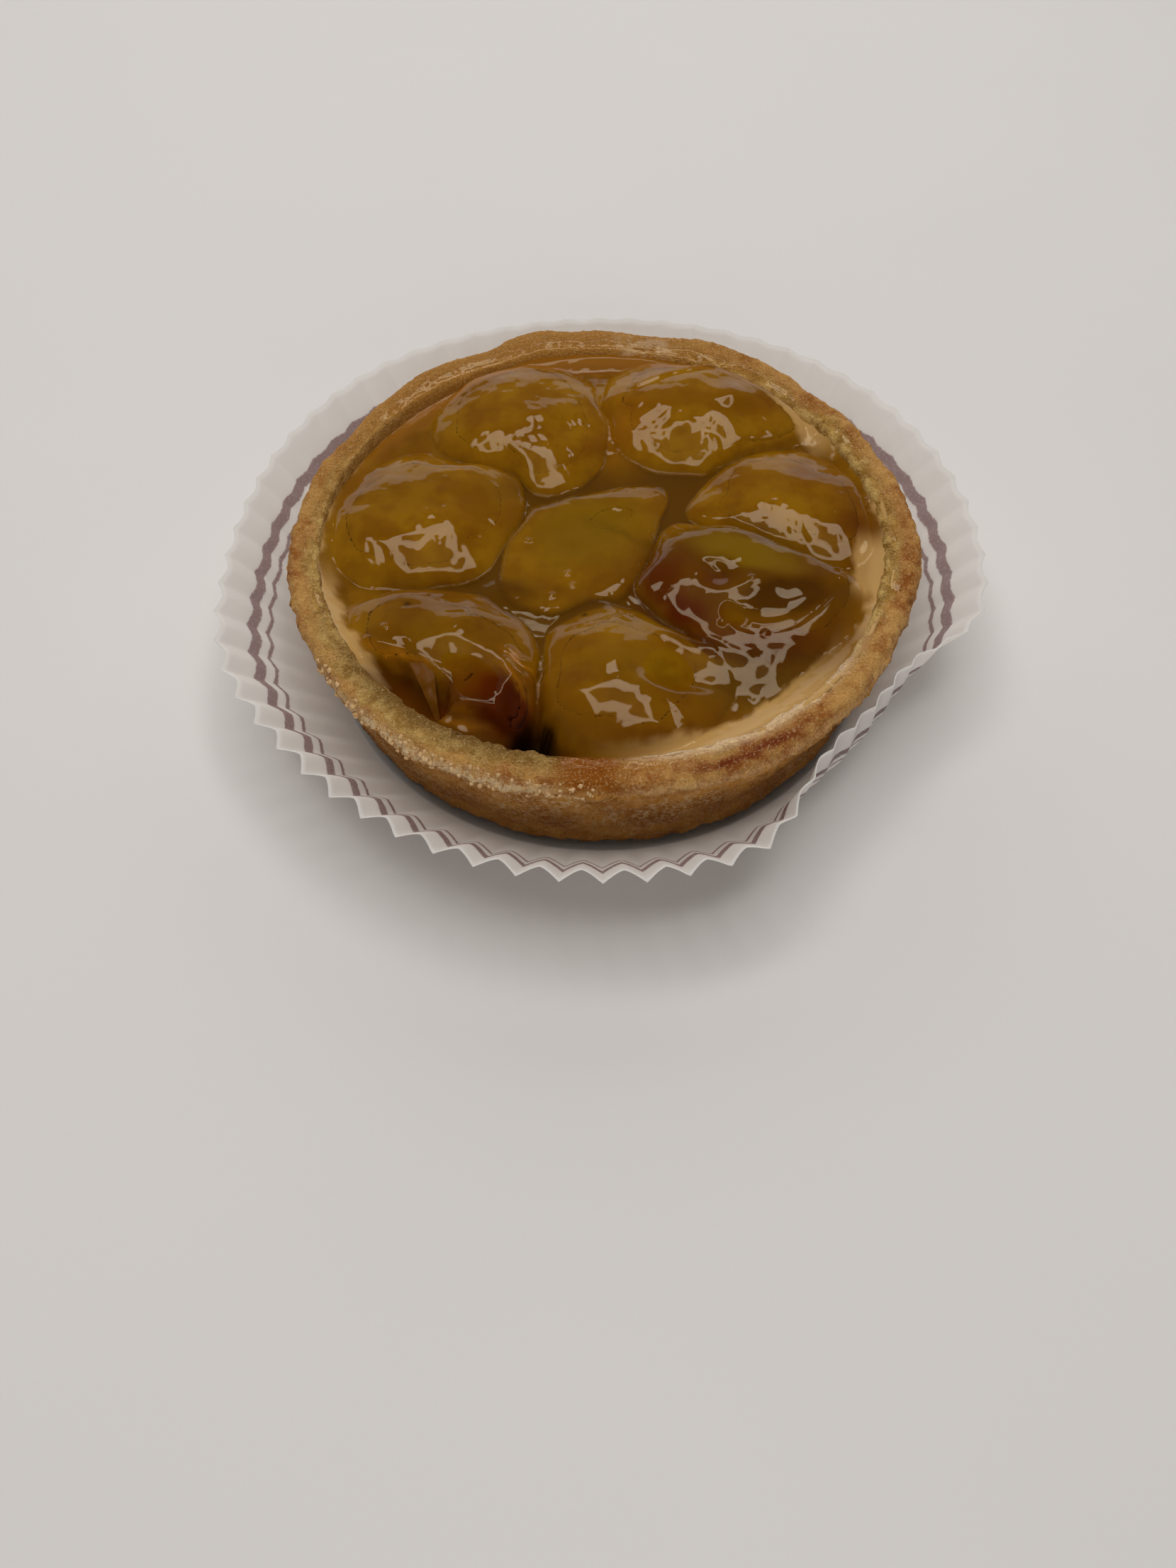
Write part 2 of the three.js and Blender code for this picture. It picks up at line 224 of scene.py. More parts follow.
# Plums: centre, half sizes along their own axes, turn of the long axis, taper, and marks that push
# the skin in (depth over 0) or out (under 0) round a direction over a half-width in degrees. The skin that
# the glaze follows is split finer than the flesh under it.
SKIN_SPLITS = 6
FLESH_SPLITS = 5
PLUMS = [
    dict(name="plum_left", centre=(-24.4, 3.4, 14.2), half=(15.6, 14.2, 7.6), turn=20, taper=-0.1,
         marks=[((0.75, -0.2, 0.65), 26, 0.9)]),
    dict(name="plum_back_left", centre=(-11.2, 23.4, 14.8), half=(15.6, 13.4, 7.1), turn=115, taper=0.05,
         marks=[((-0.7, -0.5, 0.5), 25, 0.8)]),
    dict(name="plum_back_right", centre=(15.8, 24.8, 15.0), half=(17.8, 13.4, 7.3), turn=-10, taper=0.05,
         marks=[((0.35, 0.15, 0.9), 17, -0.6), ((0.75, -0.2, 0.6), 20, 0.9)]),
    dict(name="plum_right", centre=(26.2, 5.6, 14.4), half=(15.2, 12.2, 6.9), turn=-18, taper=0.12,
         marks=[((-0.5, -0.3, 0.8), 24, 0.5)]),
    dict(name="plum_centre", centre=(-1.6, -0.8, 14.6), half=(14.6, 10.2, 4.4), turn=42, taper=0.15,
         marks=[((-0.7, -0.15, 0.7), 24, 0.8), ((0.8, 0.1, 0.55), 22, -0.6)]),
    dict(name="plum_right_split", centre=(19.2, -8.6, 15.0), half=(17.6, 11.6, 7.1), turn=-17, taper=0.0,
         marks=[((0.7, -0.42, 0.58), 20, 1.2), ((-0.49, -0.3, 0.82), 10, 1.0),
                ((0.15, -0.25, 0.95), 16, -0.5)]),
    dict(name="plum_front_left", centre=(-19.4, -20.2, 14.6), half=(16.2, 12.0, 6.9), turn=-32, taper=0.0,
         marks=[((-0.35, -0.88, 0.3), 27, 3.4), ((0.7, -0.5, 0.5), 18, -0.8),
                ((-0.1, 0.35, 0.9), 24, -0.5)]),
    dict(name="plum_front", centre=(3.0, -24.4, 13.8), half=(13.0, 12.6, 8.0), turn=-30, taper=0.0,
         marks=[((0.7, 0.1, 0.65), 25, 0.6)]),
]
PLUM_FLOOR = 6.6
PLUM_WALL_GAP = 0.5
NEIGHBOUR_REACH = 42
PRESS_SHARPNESS = 14
PLUM_GAP = 0.1
PLUM_SKIN_DEPTH = 0.75
PLUM_RELIEF = [Lumps(9.0, 0.5, 2, 20), Lumps(2.8, 0.06, 2, 20)]
PLUM_RELIEF_MARGIN = 0.3
PLUM_WARP = Lumps(11.0, 1.9, 2, 40)
PLUM_WARP_FADE = (28.0, 35.0)
# Places where torn fruit sinks, and the heights over a plum's centre where they set in.
DENT_HEIGHTS = (-1.0, 2.0)
PLUM_DENTS = [
    Form(-8.3, -33.2, 2.3, 2.6, 20, -6.0, 6),
    Form(-10.6, -28.4, 1.5, 2.6, -10, -2.2, 4),
    Form(-19.6, -28.2, 0.7, 2.4, -20, -1.4, 4),
    Form(-16.0, -26.4, 0.8, 2.6, -35, -0.7, 2),
    Form(-14.6, -31.6, 4.6, 2.0, -12, -2.0, 6),
    Form(-24.9, -26.0, 7.0, 3.4, -30, -2.6, 8),
    Form(14.6, -8.2, 1.5, 0.9, -25, -0.7, 2),
    Form(23.6, -12.2, 7.2, 1.5, 13, -0.45, 4),
]

# Jelly between the plums, whose marks have a centre, width and rise, and the clear glaze over everything.
JELLY_LEVEL = 17.7
JELLY_STEPS = 360
JELLY_RINGS = 90
JELLY_BELOW_GLAZE = 1.3
CORE_BLEND = 1.5
CORE_TUCK = 0.25
SHELF = dict(start=34.6, end=36.8, below=0.1, under_crust=1.2)
SHELF_BREAK = dict(at=-116, wide=27)
JELLY_UNDERSIDE = 5.35
JELLY_LEAST_DEPTH = 1.0
JELLY_FOOT = dict(inward=2.0, up=0.2)
JELLY_WALL_GAP = 0.05
JELLY_LEDGE = dict(highest=17.6, below_edge=0.4)
JELLY_MARKS = [
    ((-8.8, -32.8), 4.2, -7.2),
    ((2, 12), 7.0, -0.6),
    ((-8.2, -24.5), 4.0, -0.8),
    ((-26.0, -24.8), 3.2, -2.2),
    ((-21.8, -28.2), 3.2, -2.2),
    ((2.0, 27.0), 6.0, 1.2),
]
JELLY_CLIMB = 2.2
JELLY_CLIMB_WIDTH = 4.6
JELLY_CLIMB_EDGE = 39.5
JELLY_CLIMB_POWER = 1.5
JELLY_FOLLOWS_RIM = 0.8
JELLY_CLIMB_BREAKS = [dict(at=-104, wide=36), dict(at=143, wide=24)]
GLAZE_STEPS = 600
GLAZE_RINGS = 160
GLAZE_EDGE = 40.6
GLAZE_DEPTH = 0.4
GLAZE_BLEND = 2.0
GLAZE_EDGE_BLEND = 0.25
GLAZE_LUMPS = [Lumps(6.0, 0.11, 2, 50), Lumps(2.6, 0.07, 2, 51), Lumps(1.2, 0.03, 2, 52)]
GLAZE_UNDER_CRUST = 0.6
GLAZE_OVER_CRUST = 0.3
GLAZE_TINT = (1.0, 0.97, 0.90, 1.0)
GLAZE_GLOSS_TINT = (1.0, 0.86, 0.6, 1.0)
GLAZE_SHADOW_TINT = (0.96, 0.90, 0.76, 1.0)
GLAZE_INSIDE_TINT = (0.84, 0.76, 0.36, 1.0)
GLAZE_DENSITY = 60.0
GLAZE_FOOT = dict(radius=35.0, height=8.0)
GLAZE_SIDE = dict(radius=38.4, height=14.0)
RUN_WOBBLE = Lumps(2.5, 0.5, 2, 60)
RUN_FADE = 0.8
RUNS_OVER_RIM = [
    dict(at=-62, wide=24, reach=39.8),
    dict(at=-88, wide=13, reach=40.2),
    dict(at=105, wide=50, reach=40.3),
]
# Local rises and dips of the glaze.
GLAZE_FORMS = [
    Form(-24.9, -26.0, 6.8, 3.2, -30, -1.5, 8),
    Form(-8.0, -22.6, 2.2, 4.4, 15, 0.9, 2),
    Form(1.0, -35.8, 6.5, 1.6, 0, -0.8, 4),
    Form(-14.6, -31.6, 4.4, 1.8, -12, -1.2, 4),
    Form(-18.9, -25.4, 1.1, 1.3, 0, 0.45, 2),
    Form(-1.6, -28.2, 4.4, 3.0, -10, 0.6, 2),
    Form(9.4, -30.4, 1.0, 2.4, 30, 0.3, 2),
    Form(9.3, -19.2, 4.0, 1.5, -48, 0.45, 2),
    Form(14.2, -20.6, 2.6, 1.5, 0, 0.4, 2),
    Form(18.2, -21.6, 2.4, 1.7, 10, 0.45, 2),
    Form(15.4, -24.4, 3.2, 1.5, 8, 0.4, 2),
    Form(23.6, -20.6, 2.8, 1.8, 20, 0.5, 2),
    Form(21.4, -24.0, 2.4, 1.5, 30, 0.4, 2),
]
# Level places of the glaze, with the height at their centre and the rise towards the back: the pool
# beside the split plum, the low plum in the middle, the valley before it, and the torn plum's front.
FLAT_GLAZE = [
    dict(form=Form(16.0, -21.4, 11.0, 4.8, 16, 0.9, 6), height=18.9, slope=0.2),
    dict(form=Form(-3.2, -4.0, 12.0, 8.8, 38, 0.9, 8), height=18.6, slope=-0.03),
    dict(form=Form(-7.0, -12.0, 8.6, 4.4, -12, 0.9, 6), height=18.85, slope=-0.03),
    dict(form=Form(-17.0, -24.6, 6.6, 3.6, -25, 0.8, 4), height=19.8, slope=0.38),
]
# How much smoother (up over 0) or rougher (under 0) than elsewhere the glaze lies.
CALM_GLAZE = [
    Form(22.5, -13.5, 11.0, 5.0, 10, 0.85, 4),
    Form(16.0, -21.4, 11.0, 4.8, 16, 0.5, 4),
    Form(23.0, -16.4, 9.0, 3.0, 22, 0.4, 4),
    Form(-1.0, -28.4, 6.5, 4.5, 0, 0.6, 4),
    Form(-2.0, -3.0, 9.0, 6.5, 42, 0.5, 4),
    Form(-15.5, -27.0, 6.0, 4.6, -20, -1.2, 4),
    Form(-25.5, 1.0, 8.0, 6.5, 10, -0.8, 4),
    Form(-8.5, 20.0, 8.0, 6.5, 0, -0.5, 4),
    Form(11.5, 21.0, 8.0, 7.5, 0, -0.4, 4),
    Form(27.0, 1.5, 7.5, 5.5, -10, -0.4, 4),
]
# Benches of glaze that catch the light: points with their heights, and half width.
GLAZE_BENCHES = [
    dict(wide=0.95, points=[
        (16.2, -15.4, 19.7), (17.8, -16.7, 19.6), (20.0, -17.6, 19.6), (22.3, -17.4, 19.6),
        (24.5, -16.6, 19.7), (27.4, -14.3, 19.9), (29.5, -12.0, 20.1), (31.2, -9.6, 20.3),
    ]),
]
BENCH_SLOPE = 0.15
# Raised welts of glaze: points seen from above, half width and rise.
GLAZE_WELTS = [
    dict(points=[(5.6, 28.4), (10.6, 31.0), (19.0, 33.6), (21.0, 33.8), (24.6, 31.0)], wide=0.5, up=0.45),
    dict(points=[(-29.6, -19.4), (-25.5, -21.6), (-22.4, -23.2), (-20.1, -24.7)], wide=0.7, up=0.4),
    dict(points=[(-11.6, -21.4), (-10.2, -22.9), (-8.2, -23.7)], wide=0.5, up=0.5),
    dict(points=[(-11.8, -23.0), (-10.6, -24.6), (-9.0, -25.8)], wide=0.45, up=0.45),
]
# Torn flap of skin that hangs over the hollow: points down its left and its right edge.
FLAP_EDGES = [
    [(-24.2, -22.8, 19.4), (-22.8, -25.4, 18.7), (-21.6, -27.6, 17.5), (-20.7, -29.6, 16.1)],
    [(-20.6, -22.8, 19.9), (-20.7, -25.4, 19.1), (-20.4, -27.8, 17.8), (-20.1, -29.8, 16.1)],
]
FLAP_THICKNESS = 0.14
FLAP_FOLDS = Lumps(1.5, 0.25, 2, 80)
FLAP_COLOURS = ((134, 84, 18), (104, 58, 6))
FLAP_SIDES = 24
FLAP_STEPS = 24
# Bubbles in the glaze: places seen from above, then half width and rise.
BUBBLES = [
    (-10.5, 5.5), (-10.4, 7.2), (-5.9, 12.4), (-9.8, -1.0), (-27.5, -17.8), (-3.8, -9.2), (-4.4, -7.0),
    (-6.4, -11.0), (19.3, -10.8), (39.0, -1.8), (31.2, -7.4), (35.0, -13.6), (18.4, -16.6), (15.3, -16.8),
    (4.0, -14.6), (20.7, -18.2), (37.0, 6.4),
]
BUBBLE_HALF_WIDTH = 0.42
BUBBLE_RISE = 0.3

# Colour patches of the fruit, with edges that wobble. Some hold painted shade or painted highlights, as
# marked below.
PATCH_WOBBLE = Lumps(3.0, 0.8, 2, 70)
PLUM_PATCHES = {
    "dark_and_shade": [
        Form(19.0, -7.5, 15.5, 9.5, -20, 0.75, 4),
        # Painted shade on the facet under the split plum's skin edge.
        Form(24.5, -12.5, 6.5, 2.4, 14, 0.5, 4),
        # Painted shade in the torn plum's hollow.
        Form(-24.9, -26.0, 7.0, 3.5, -30, 0.6, 8),
        # This and the next: painted shade in the gaps between neighbouring plums.
        Form(-11.5, -9.0, 5.0, 2.2, -15, 0.8, 2),
        Form(-12.5, 9.0, 3.5, 2.5, 40, 0.5, 2),
        Form(-20.0, -17.5, 12.0, 7.5, -32, 0.4, 4),
        Form(5.0, -25.0, 8.0, 5.0, 0, 0.35, 4),
        Form(-27.0, 8.0, 8.0, 6.0, 0, 0.2, 4),
        # Painted shade along the centre plum's fold line.
        Form(1.0, 1.7, 5.5, 0.7, -28, 0.6, 2),
    ],
    "blush": [
        Form(11.0, -14.2, 5.4, 3.2, -30, 1.0, 2),
        Form(7.6, -7.6, 3.6, 4.4, 0, 0.8, 2),
        Form(21.5, -18.4, 9.5, 2.2, 4, 0.9, 2),
        Form(14.9, -9.7, 2.6, 1.8, -20, 0.7, 2),
        Form(-15.0, -28.0, 5.5, 5.0, -22, 0.8, 4),
        Form(-25.4, -26.4, 7.0, 3.7, -32, 0.6, 8),
        Form(-10.8, -28.4, 3.0, 3.5, 0, 1.0, 2),
        # This and the next: painted shade, at the front plum's base and in the gap between the right plum's
        # end and the crust.
        Form(6.0, -33.4, 7.0, 2.4, 0, 0.5, 2),
        Form(34.5, 1.5, 4.0, 4.0, 0, 0.8, 2),
        Form(29.5, 10.0, 5.0, 2.0, -15, 0.4, 2),
        Form(24.5, 26.0, 4.0, 4.0, 0, 0.3, 2),
    ],
    "green": [
        Form(19.0, -5.4, 7.4, 3.0, -22, 0.9, 6),
        Form(-2.0, 2.0, 9.0, 7.0, 42, 0.7, 4),
        Form(4.0, -14.0, 9.0, 5.0, 0, 0.35, 2),
    ],
    "gold": [
        Form(3.5, 21.0, 4.0, 5.0, 0, 0.35, 2),
        # This and the next two: painted highlights, a bright line along the torn plum's lip and glints on
        # the twisted fold.
        Form(-25.0, -21.4, 5.4, 0.55, -28, 0.9, 2),
        Form(-9.8, -22.8, 2.4, 0.5, -38, 0.9, 2),
        Form(-10.6, -25.0, 2.0, 0.45, -50, 0.8, 2),
        Form(-17.2, -30.6, 2.6, 0.5, -15, 0.7, 2),
    ],
    "black": [
        # This and the next: painted shade, black in the deep hole and under the torn plum's hood.
        Form(-8.6, -32.6, 3.1, 3.6, 0, 1.0, 6),
        Form(-27.2, -27.0, 5.4, 1.6, -38, 0.45, 4),
        Form(-24.8, -13.6, 0.45, 0.6, 30, 0.8, 2),
        Form(-2.2, -13.8, 0.4, 0.3, 0, 0.9, 2),
    ],
}
# Pale jelly where the crust shows through it: direction and half-width in degrees, radius where it
# sets in, and strength.
PALE_EDGES = [
    dict(at=-60, wide=24, start=33.8, up=1.0),
    dict(at=-9, wide=8, start=33.6, up=1.0),
    dict(at=-20, wide=9, start=36.4, up=0.7),
    dict(at=38, wide=10, start=35.2, up=0.9),
    dict(at=206, wide=15, start=35.6, up=1.0),
    dict(at=-100, wide=30, start=37.0, up=0.8),
    dict(at=12, wide=60, start=37.9, up=0.9),
    dict(at=165, wide=40, start=37.4, up=0.9),
]
AMBER_EDGE = dict(at=108, wide=50, start=34.6, up=1.0)
EDGE_WOBBLE = Lumps(2.6, 0.9, 3, 75)
EDGE_FADE = 1.1
# Painted shade: jelly that lies deep between the plums darkens, less so towards the wall and not in a clear
# place at the back; the darker tint over the pool beside the split plum is painted shade too.
VALLEY_SHADE_DEPTH = 0.8
VALLEY_SHADE_FADE = dict(start=18.0, end=27.0, share=0.9)
VALLEY_SHADE_CLEAR = Form(2.5, 25.0, 5.5, 11.0, 0, 0.9, 4)
POOL_SHADE = Form(21.0, -23.0, 9.0, 5.5, 22, 0.7, 4)
FRUIT_COLOURS = dict(
    amber_dark=(124, 82, 6), amber_light=(142, 101, 12), cloud=(108, 64, 4),
    # low is the colour of painted shade on the fruit's low parts.
    vein=(106, 60, 3), low=(98, 56, 3),
)
# Heights over which the painted shade of the low fruit fades out.
LOW_FRUIT_SHADE = (12.0, 18.0)
# Colours laid over the fruit in turn, under and over the darker tone of its low parts, which is painted
# shade.
# The dark tint is partly the fruit's own darker skin and partly painted shade in gaps, the hollow and a
# fold.
FRUIT_TINTS_UNDER = [("dark_and_shade", (76, 44, 4)), ("green", (120, 92, 10))]
FRUIT_TINTS_OVER = [
    # Painted shade in the jelly's deep valleys.
    ("valley", (92, 60, 5)),
    # Painted shade over the deep pool.
    ("pool", (70, 46, 18)),
    # The fruit's own red, with painted shade at two places by the crust.
    ("blush", (82, 30, 3)),
    # A lighter place on the back right plum, and painted highlights on the torn plum's lip and fold.
    ("gold", (162, 104, 20)),
    ("pale", (190, 155, 104)),
    ("amber", (146, 96, 28)),
    # Painted shade in the deep hole and under the torn plum's hood, and a few small dark spots.
    ("black", (12, 4, 2)),
]


def colour(red, green, blue):
    """A colour given as it looks on screen, from 0 to 255, as the shader's linear values."""
    def linear(value):
        share = value / 255
        return share / 12.92 if share <= 0.04045 else ((share + 0.055) / 1.055) ** 2.4
    return (linear(red), linear(green), linear(blue), 1.0)


def bell(angle, mark, power=2):
    """A smooth bump of height 1 round a mark's direction; a higher power gives it a flatter top."""
    turn = angle - math.radians(mark["at"])
    offset = np.abs(np.arctan2(np.sin(turn), np.cos(turn)))
    return np.exp(-((offset / math.radians(mark["wide"])) ** power))


def rise(value, low, high):
    """0 below low, 1 above high, and smooth between."""
    share = np.clip((value - low) / (high - low), 0, 1)
    return share * share * (3 - 2 * share)


def around(angle, mark):
    """1 round the direction of a mark, with a flat top, and 0 away from it."""
    return bell(angle, mark, FLAT_TOP)


def band(place, start, full, fade, end):
    """1 along a stretch, with smooth ends."""
    return rise(place, start, full) * rise(-place, -end, -fade)


def plan_form(form, x, y):
    """The rise of a form at places seen from above."""
    turn = math.radians(form.turn)
    along = (x - form.x) * math.cos(turn) + (y - form.y) * math.sin(turn)
    aside = (y - form.y) * math.cos(turn) - (x - form.x) * math.sin(turn)
    far = np.hypot(along / form.long, aside / form.wide)
    return form.up * np.exp(-far ** form.power)


def nearest_on_route(route, x, y):
    """Distance seen from above to a route of straight steps, and the route's nearest point."""
    nearest = np.full(np.shape(x), FAR)
    found = np.zeros((len(route[0]), len(x)))
    for start, end in zip(np.array(route), np.array(route)[1:]):
        step = end - start
        share = ((x - start[0]) * step[0] + (y - start[1]) * step[1]) / (step[0] ** 2 + step[1] ** 2)
        point = start[:, None] + np.clip(share, 0, 1) * step[:, None]
        away = np.hypot(x - point[0], y - point[1])
        found = np.where(away < nearest, point, found)
        nearest = np.minimum(nearest, away)
    return nearest, found


def uneven(points, kind, number=0):
    """Smooth noise of one kind of lumps, up and down by about its reach; a number gives another draw."""
    shift = Vector(NOISE_SHIFT) * (kind.seed + number + 1)
    flat = np.asarray(points, float).reshape(-1, 3) / kind.size
    octaves = (OCTAVE_FADE, OCTAVE_FINENESS, kind.octaves)
    values = [noise.fractal(Vector(point) + shift, *octaves) for point in flat]
    return kind.reach * np.array(values).reshape(np.shape(points)[:-1])


def polar(radius, angle, height):
    """Points from radii, angles and heights."""
    parts = np.broadcast_arrays(radius * np.cos(angle), radius * np.sin(angle), height)
    return np.stack(parts, axis=-1).astype(float)


def full_circle(steps):
    return np.arange(steps) * TURN / steps


def loft(bottom, rings, top):
    """A closed skin from a bottom point through equal rings, outwards and up, to a top point."""
    levels, steps = rings.shape[:2]
    points = np.vstack([[bottom], rings.reshape(-1, 3), [top]])
    here = np.arange(steps)
    after = (here + 1) % steps
    quads = []
    for level in range(levels - 1):
        low = 1 + level * steps
        high = low + steps
        quads.append(np.stack([low + here, low + after, high + after, high + here], axis=1))
    last = 1 + (levels - 1) * steps
    start = np.stack([np.zeros_like(here), 1 + after, 1 + here], axis=1)
    end = np.stack([np.full_like(here, len(points) - 1), last + here, last + after], axis=1)
    faces = start.tolist() + np.vstack(quads).tolist() + end.tolist()
    return points, faces


def grid_normals(rings):
    """Outward directions of a lofted grid of rings."""
    along = np.roll(rings, -1, axis=1) - np.roll(rings, 1, axis=1)
    up = np.gradient(rings, axis=0)
    normal = np.cross(along, up)
    return normal / np.maximum(np.linalg.norm(normal, axis=-1, keepdims=True), TINY)


def paint(mesh, values):
    """Named values on a mesh's points, for its material, in place of any it has."""
    for key, numbers in values.items():
        if key in mesh.attributes:
            mesh.attributes.remove(mesh.attributes[key])
        mesh.attributes.new(key, "FLOAT", "POINT").data.foreach_set("value", np.asarray(numbers, np.float32))


def make_object(name, points, faces, material, values=None):
    """A smooth mesh object, with named values on its points."""
    mesh = bpy.data.meshes.new(name)
    mesh.from_pydata((np.asarray(points) * MM).tolist(), [], faces)
    mesh.polygons.foreach_set("use_smooth", [True] * len(mesh.polygons))
    paint(mesh, values or {})
    mesh.materials.append(material)
    made = bpy.data.objects.new(name, mesh)
    bpy.context.scene.collection.objects.link(made)
    return made


def add_piece(made, node=None):
    """Puts a piece on the body and, where it stands for one, over its node."""
    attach(made, "root")
    if node:
        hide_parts(node)
    return made


# Shader building blocks.


def new_material(name):
    material = bpy.data.materials.new(name)
    material.use_nodes = True
    material.node_tree.nodes.clear()
    return material, material.node_tree


def add_node(tree, kind, values=None, **settings):
    """A shader node with settings, and with values or links on its sockets."""
    node = tree.nodes.new(kind)
    for key, value in settings.items():
        setattr(node, key, value)
    for key, value in (values or {}).items():
        if isinstance(value, bpy.types.NodeSocket):
            tree.links.new(value, node.inputs[key])
        else:
            node.inputs[key].default_value = value
    return node


def mix(tree, share, first, second):
    return add_node(tree, "ShaderNodeMix", {0: share, 6: first, 7: second}, data_type="RGBA").outputs[2]


def two_tone(tree, share, pair):
    """A mix of two colours given as they look on screen."""
    return mix(tree, share, colour(*pair[0]), colour(*pair[1]))


def tinted(tree, tone, tints):
    """A tone with colours laid over it in turn, each where the mesh carries its name."""
    for name, shade in tints:
        tone = mix(tree, painted(tree, name), tone, colour(*shade))
    return tone


def grain(tree, size, detail=3.0, roughness=0.55):
    """Noise from 0 to 1 with lumps of one size in millimetres."""
    place = add_node(tree, "ShaderNodeTexCoord").outputs["Object"]
    values = {"Vector": place, "Scale": 1 / (size * MM), "Detail": detail, "Roughness": roughness}
    return add_node(tree, "ShaderNodeTexNoise", values).outputs["Fac"]


def ramp(tree, value, low, high, out_low=0.0, out_high=1.0):
    """A smooth change between two levels as a value goes from low to high."""
    values = {"Value": value, 1: low, 2: high, 3: out_low, 4: out_high}
    return add_node(tree, "ShaderNodeMapRange", values, interpolation_type="SMOOTHSTEP").outputs["Result"]


def calculate(tree, operation, first, second):
    return add_node(tree, "ShaderNodeMath", {0: first, 1: second}, operation=operation).outputs[0]


def painted(tree, name):
    """A value that the mesh carries on its points."""
    return add_node(tree, "ShaderNodeAttribute", attribute_name=name).outputs["Fac"]


def bump(tree, height, strength, distance):
    values = {"Height": height, "Strength": strength, "Distance": distance * MM}
    return add_node(tree, "ShaderNodeBump", values).outputs["Normal"]


def finish_with(tree, shader, inside=None):
    output = add_node(tree, "ShaderNodeOutputMaterial", {"Surface": shader})
    if inside:
        tree.links.new(inside, output.inputs["Volume"])


def finish_opaque(tree, values):
    """Ends a material with one plain shader."""
    finish_with(tree, add_node(tree, "ShaderNodeBsdfPrincipled", values).outputs[0])


def plain_material(name, size, detail, pair, values):
    """A material of two tones that change over lumps of one size."""
    material, tree = new_material(name)
    finish_opaque(tree, {"Base Color": two_tone(tree, grain(tree, size, detail), pair), **values})
    return material


# Paper case.


def paper_wall(angle, share):
    """Inner radius, height and flute depth of the wall, a share of the way up."""
    pinch = around(angle, PINCH)
    tip = PAPER_TIP_RADIUS - PINCH["inward"] * pinch
    for spread in PAPER_SPREADS:
        tip = tip + spread["out"] * bell(angle, spread)
    bow = PINCH["bow"] * pinch * np.sin(np.pi * share)
    height = PAPER_HEIGHT + PINCH["lift"] * pinch
    deep = around(angle, DEEP_FLUTES)
    open_depth = SHALLOW_FLUTE + (DEEP_FLUTE - SHALLOW_FLUTE) * deep
    depth = open_depth + (PINCH["flute_depth"] - open_depth) * pinch
    radius = PAPER_FLOOR_RADIUS + (tip - PAPER_FLOOR_RADIUS) * share + bow
    return radius, PAPER_THICKNESS + (height - PAPER_THICKNESS) * share, depth * share


def paper_ring(angle, share, outward):
    """One ring of the fluted wall, moved outwards along the wall's lean."""
    radius, height, depth = paper_wall(angle, share)
    low_radius, low_height, _ = paper_wall(angle, max(share - LEAN_STEP, 0))
    high_radius, high_height, _ = paper_wall(angle, share + LEAN_STEP)
    lean = np.arctan2(high_radius - low_radius, high_height - low_height)
    loop = polar(PLEAT_WANDER["radius"], angle, PLEAT_WANDER["rise"] * share)
    wander = uneven(loop, PLEAT_LUMPS)
    fold = np.abs(np.sin(FLUTES * (angle + PLEAT_WANDER["sideways"] * wander) / 2))
    flute = PLEAT_SHARPNESS * np.arcsin(fold) / (math.pi / 2) + (1 - PLEAT_SHARPNESS) * fold
    inward = depth * (flute + PLEAT_WANDER["inward"] * wander) + PLEAT_GAP
    crease = share * uneven(polar(radius, angle, height), CREASES)
    return polar(radius - inward + crease + outward * np.cos(lean), angle, height - outward * np.sin(lean))


def make_paper():
    angle = full_circle(FLUTES * STEPS_PER_FLUTE)
    shares = np.linspace(PAPER_FIRST_RING, 1.0, PAPER_RINGS)
    outer_face = PAPER_THICKNESS
    inner_face = PAPER_THICKNESS - PAPER_SHEET
    outside = [polar(PAPER_FLOOR_RADIUS, angle, 0.0)]
    outside += [paper_ring(angle, share, outer_face) for share in shares]
    inside = [paper_ring(angle, share, inner_face) for share in shares[::-1]]
    inside += [polar(PAPER_FLOOR_RADIUS, angle, PAPER_SHEET)]
    rings = np.stack(outside + inside)
    slope = np.concatenate([[0.0], shares, shares[::-1], [0.0]])
    outer = np.concatenate([np.ones(PAPER_RINGS + 1), np.zeros(PAPER_RINGS + 1)])
    points, faces = loft((0, 0, 0), rings, (0, 0, PAPER_SHEET))
    values = {
        "slope": np.concatenate([[0], np.repeat(slope, len(angle)), [0]]),
        "outer": np.concatenate([[1], np.repeat(outer, len(angle)), [0]]),
    }
    return add_piece(make_object("paper", points, faces, paper_material(), values), "paper_case")


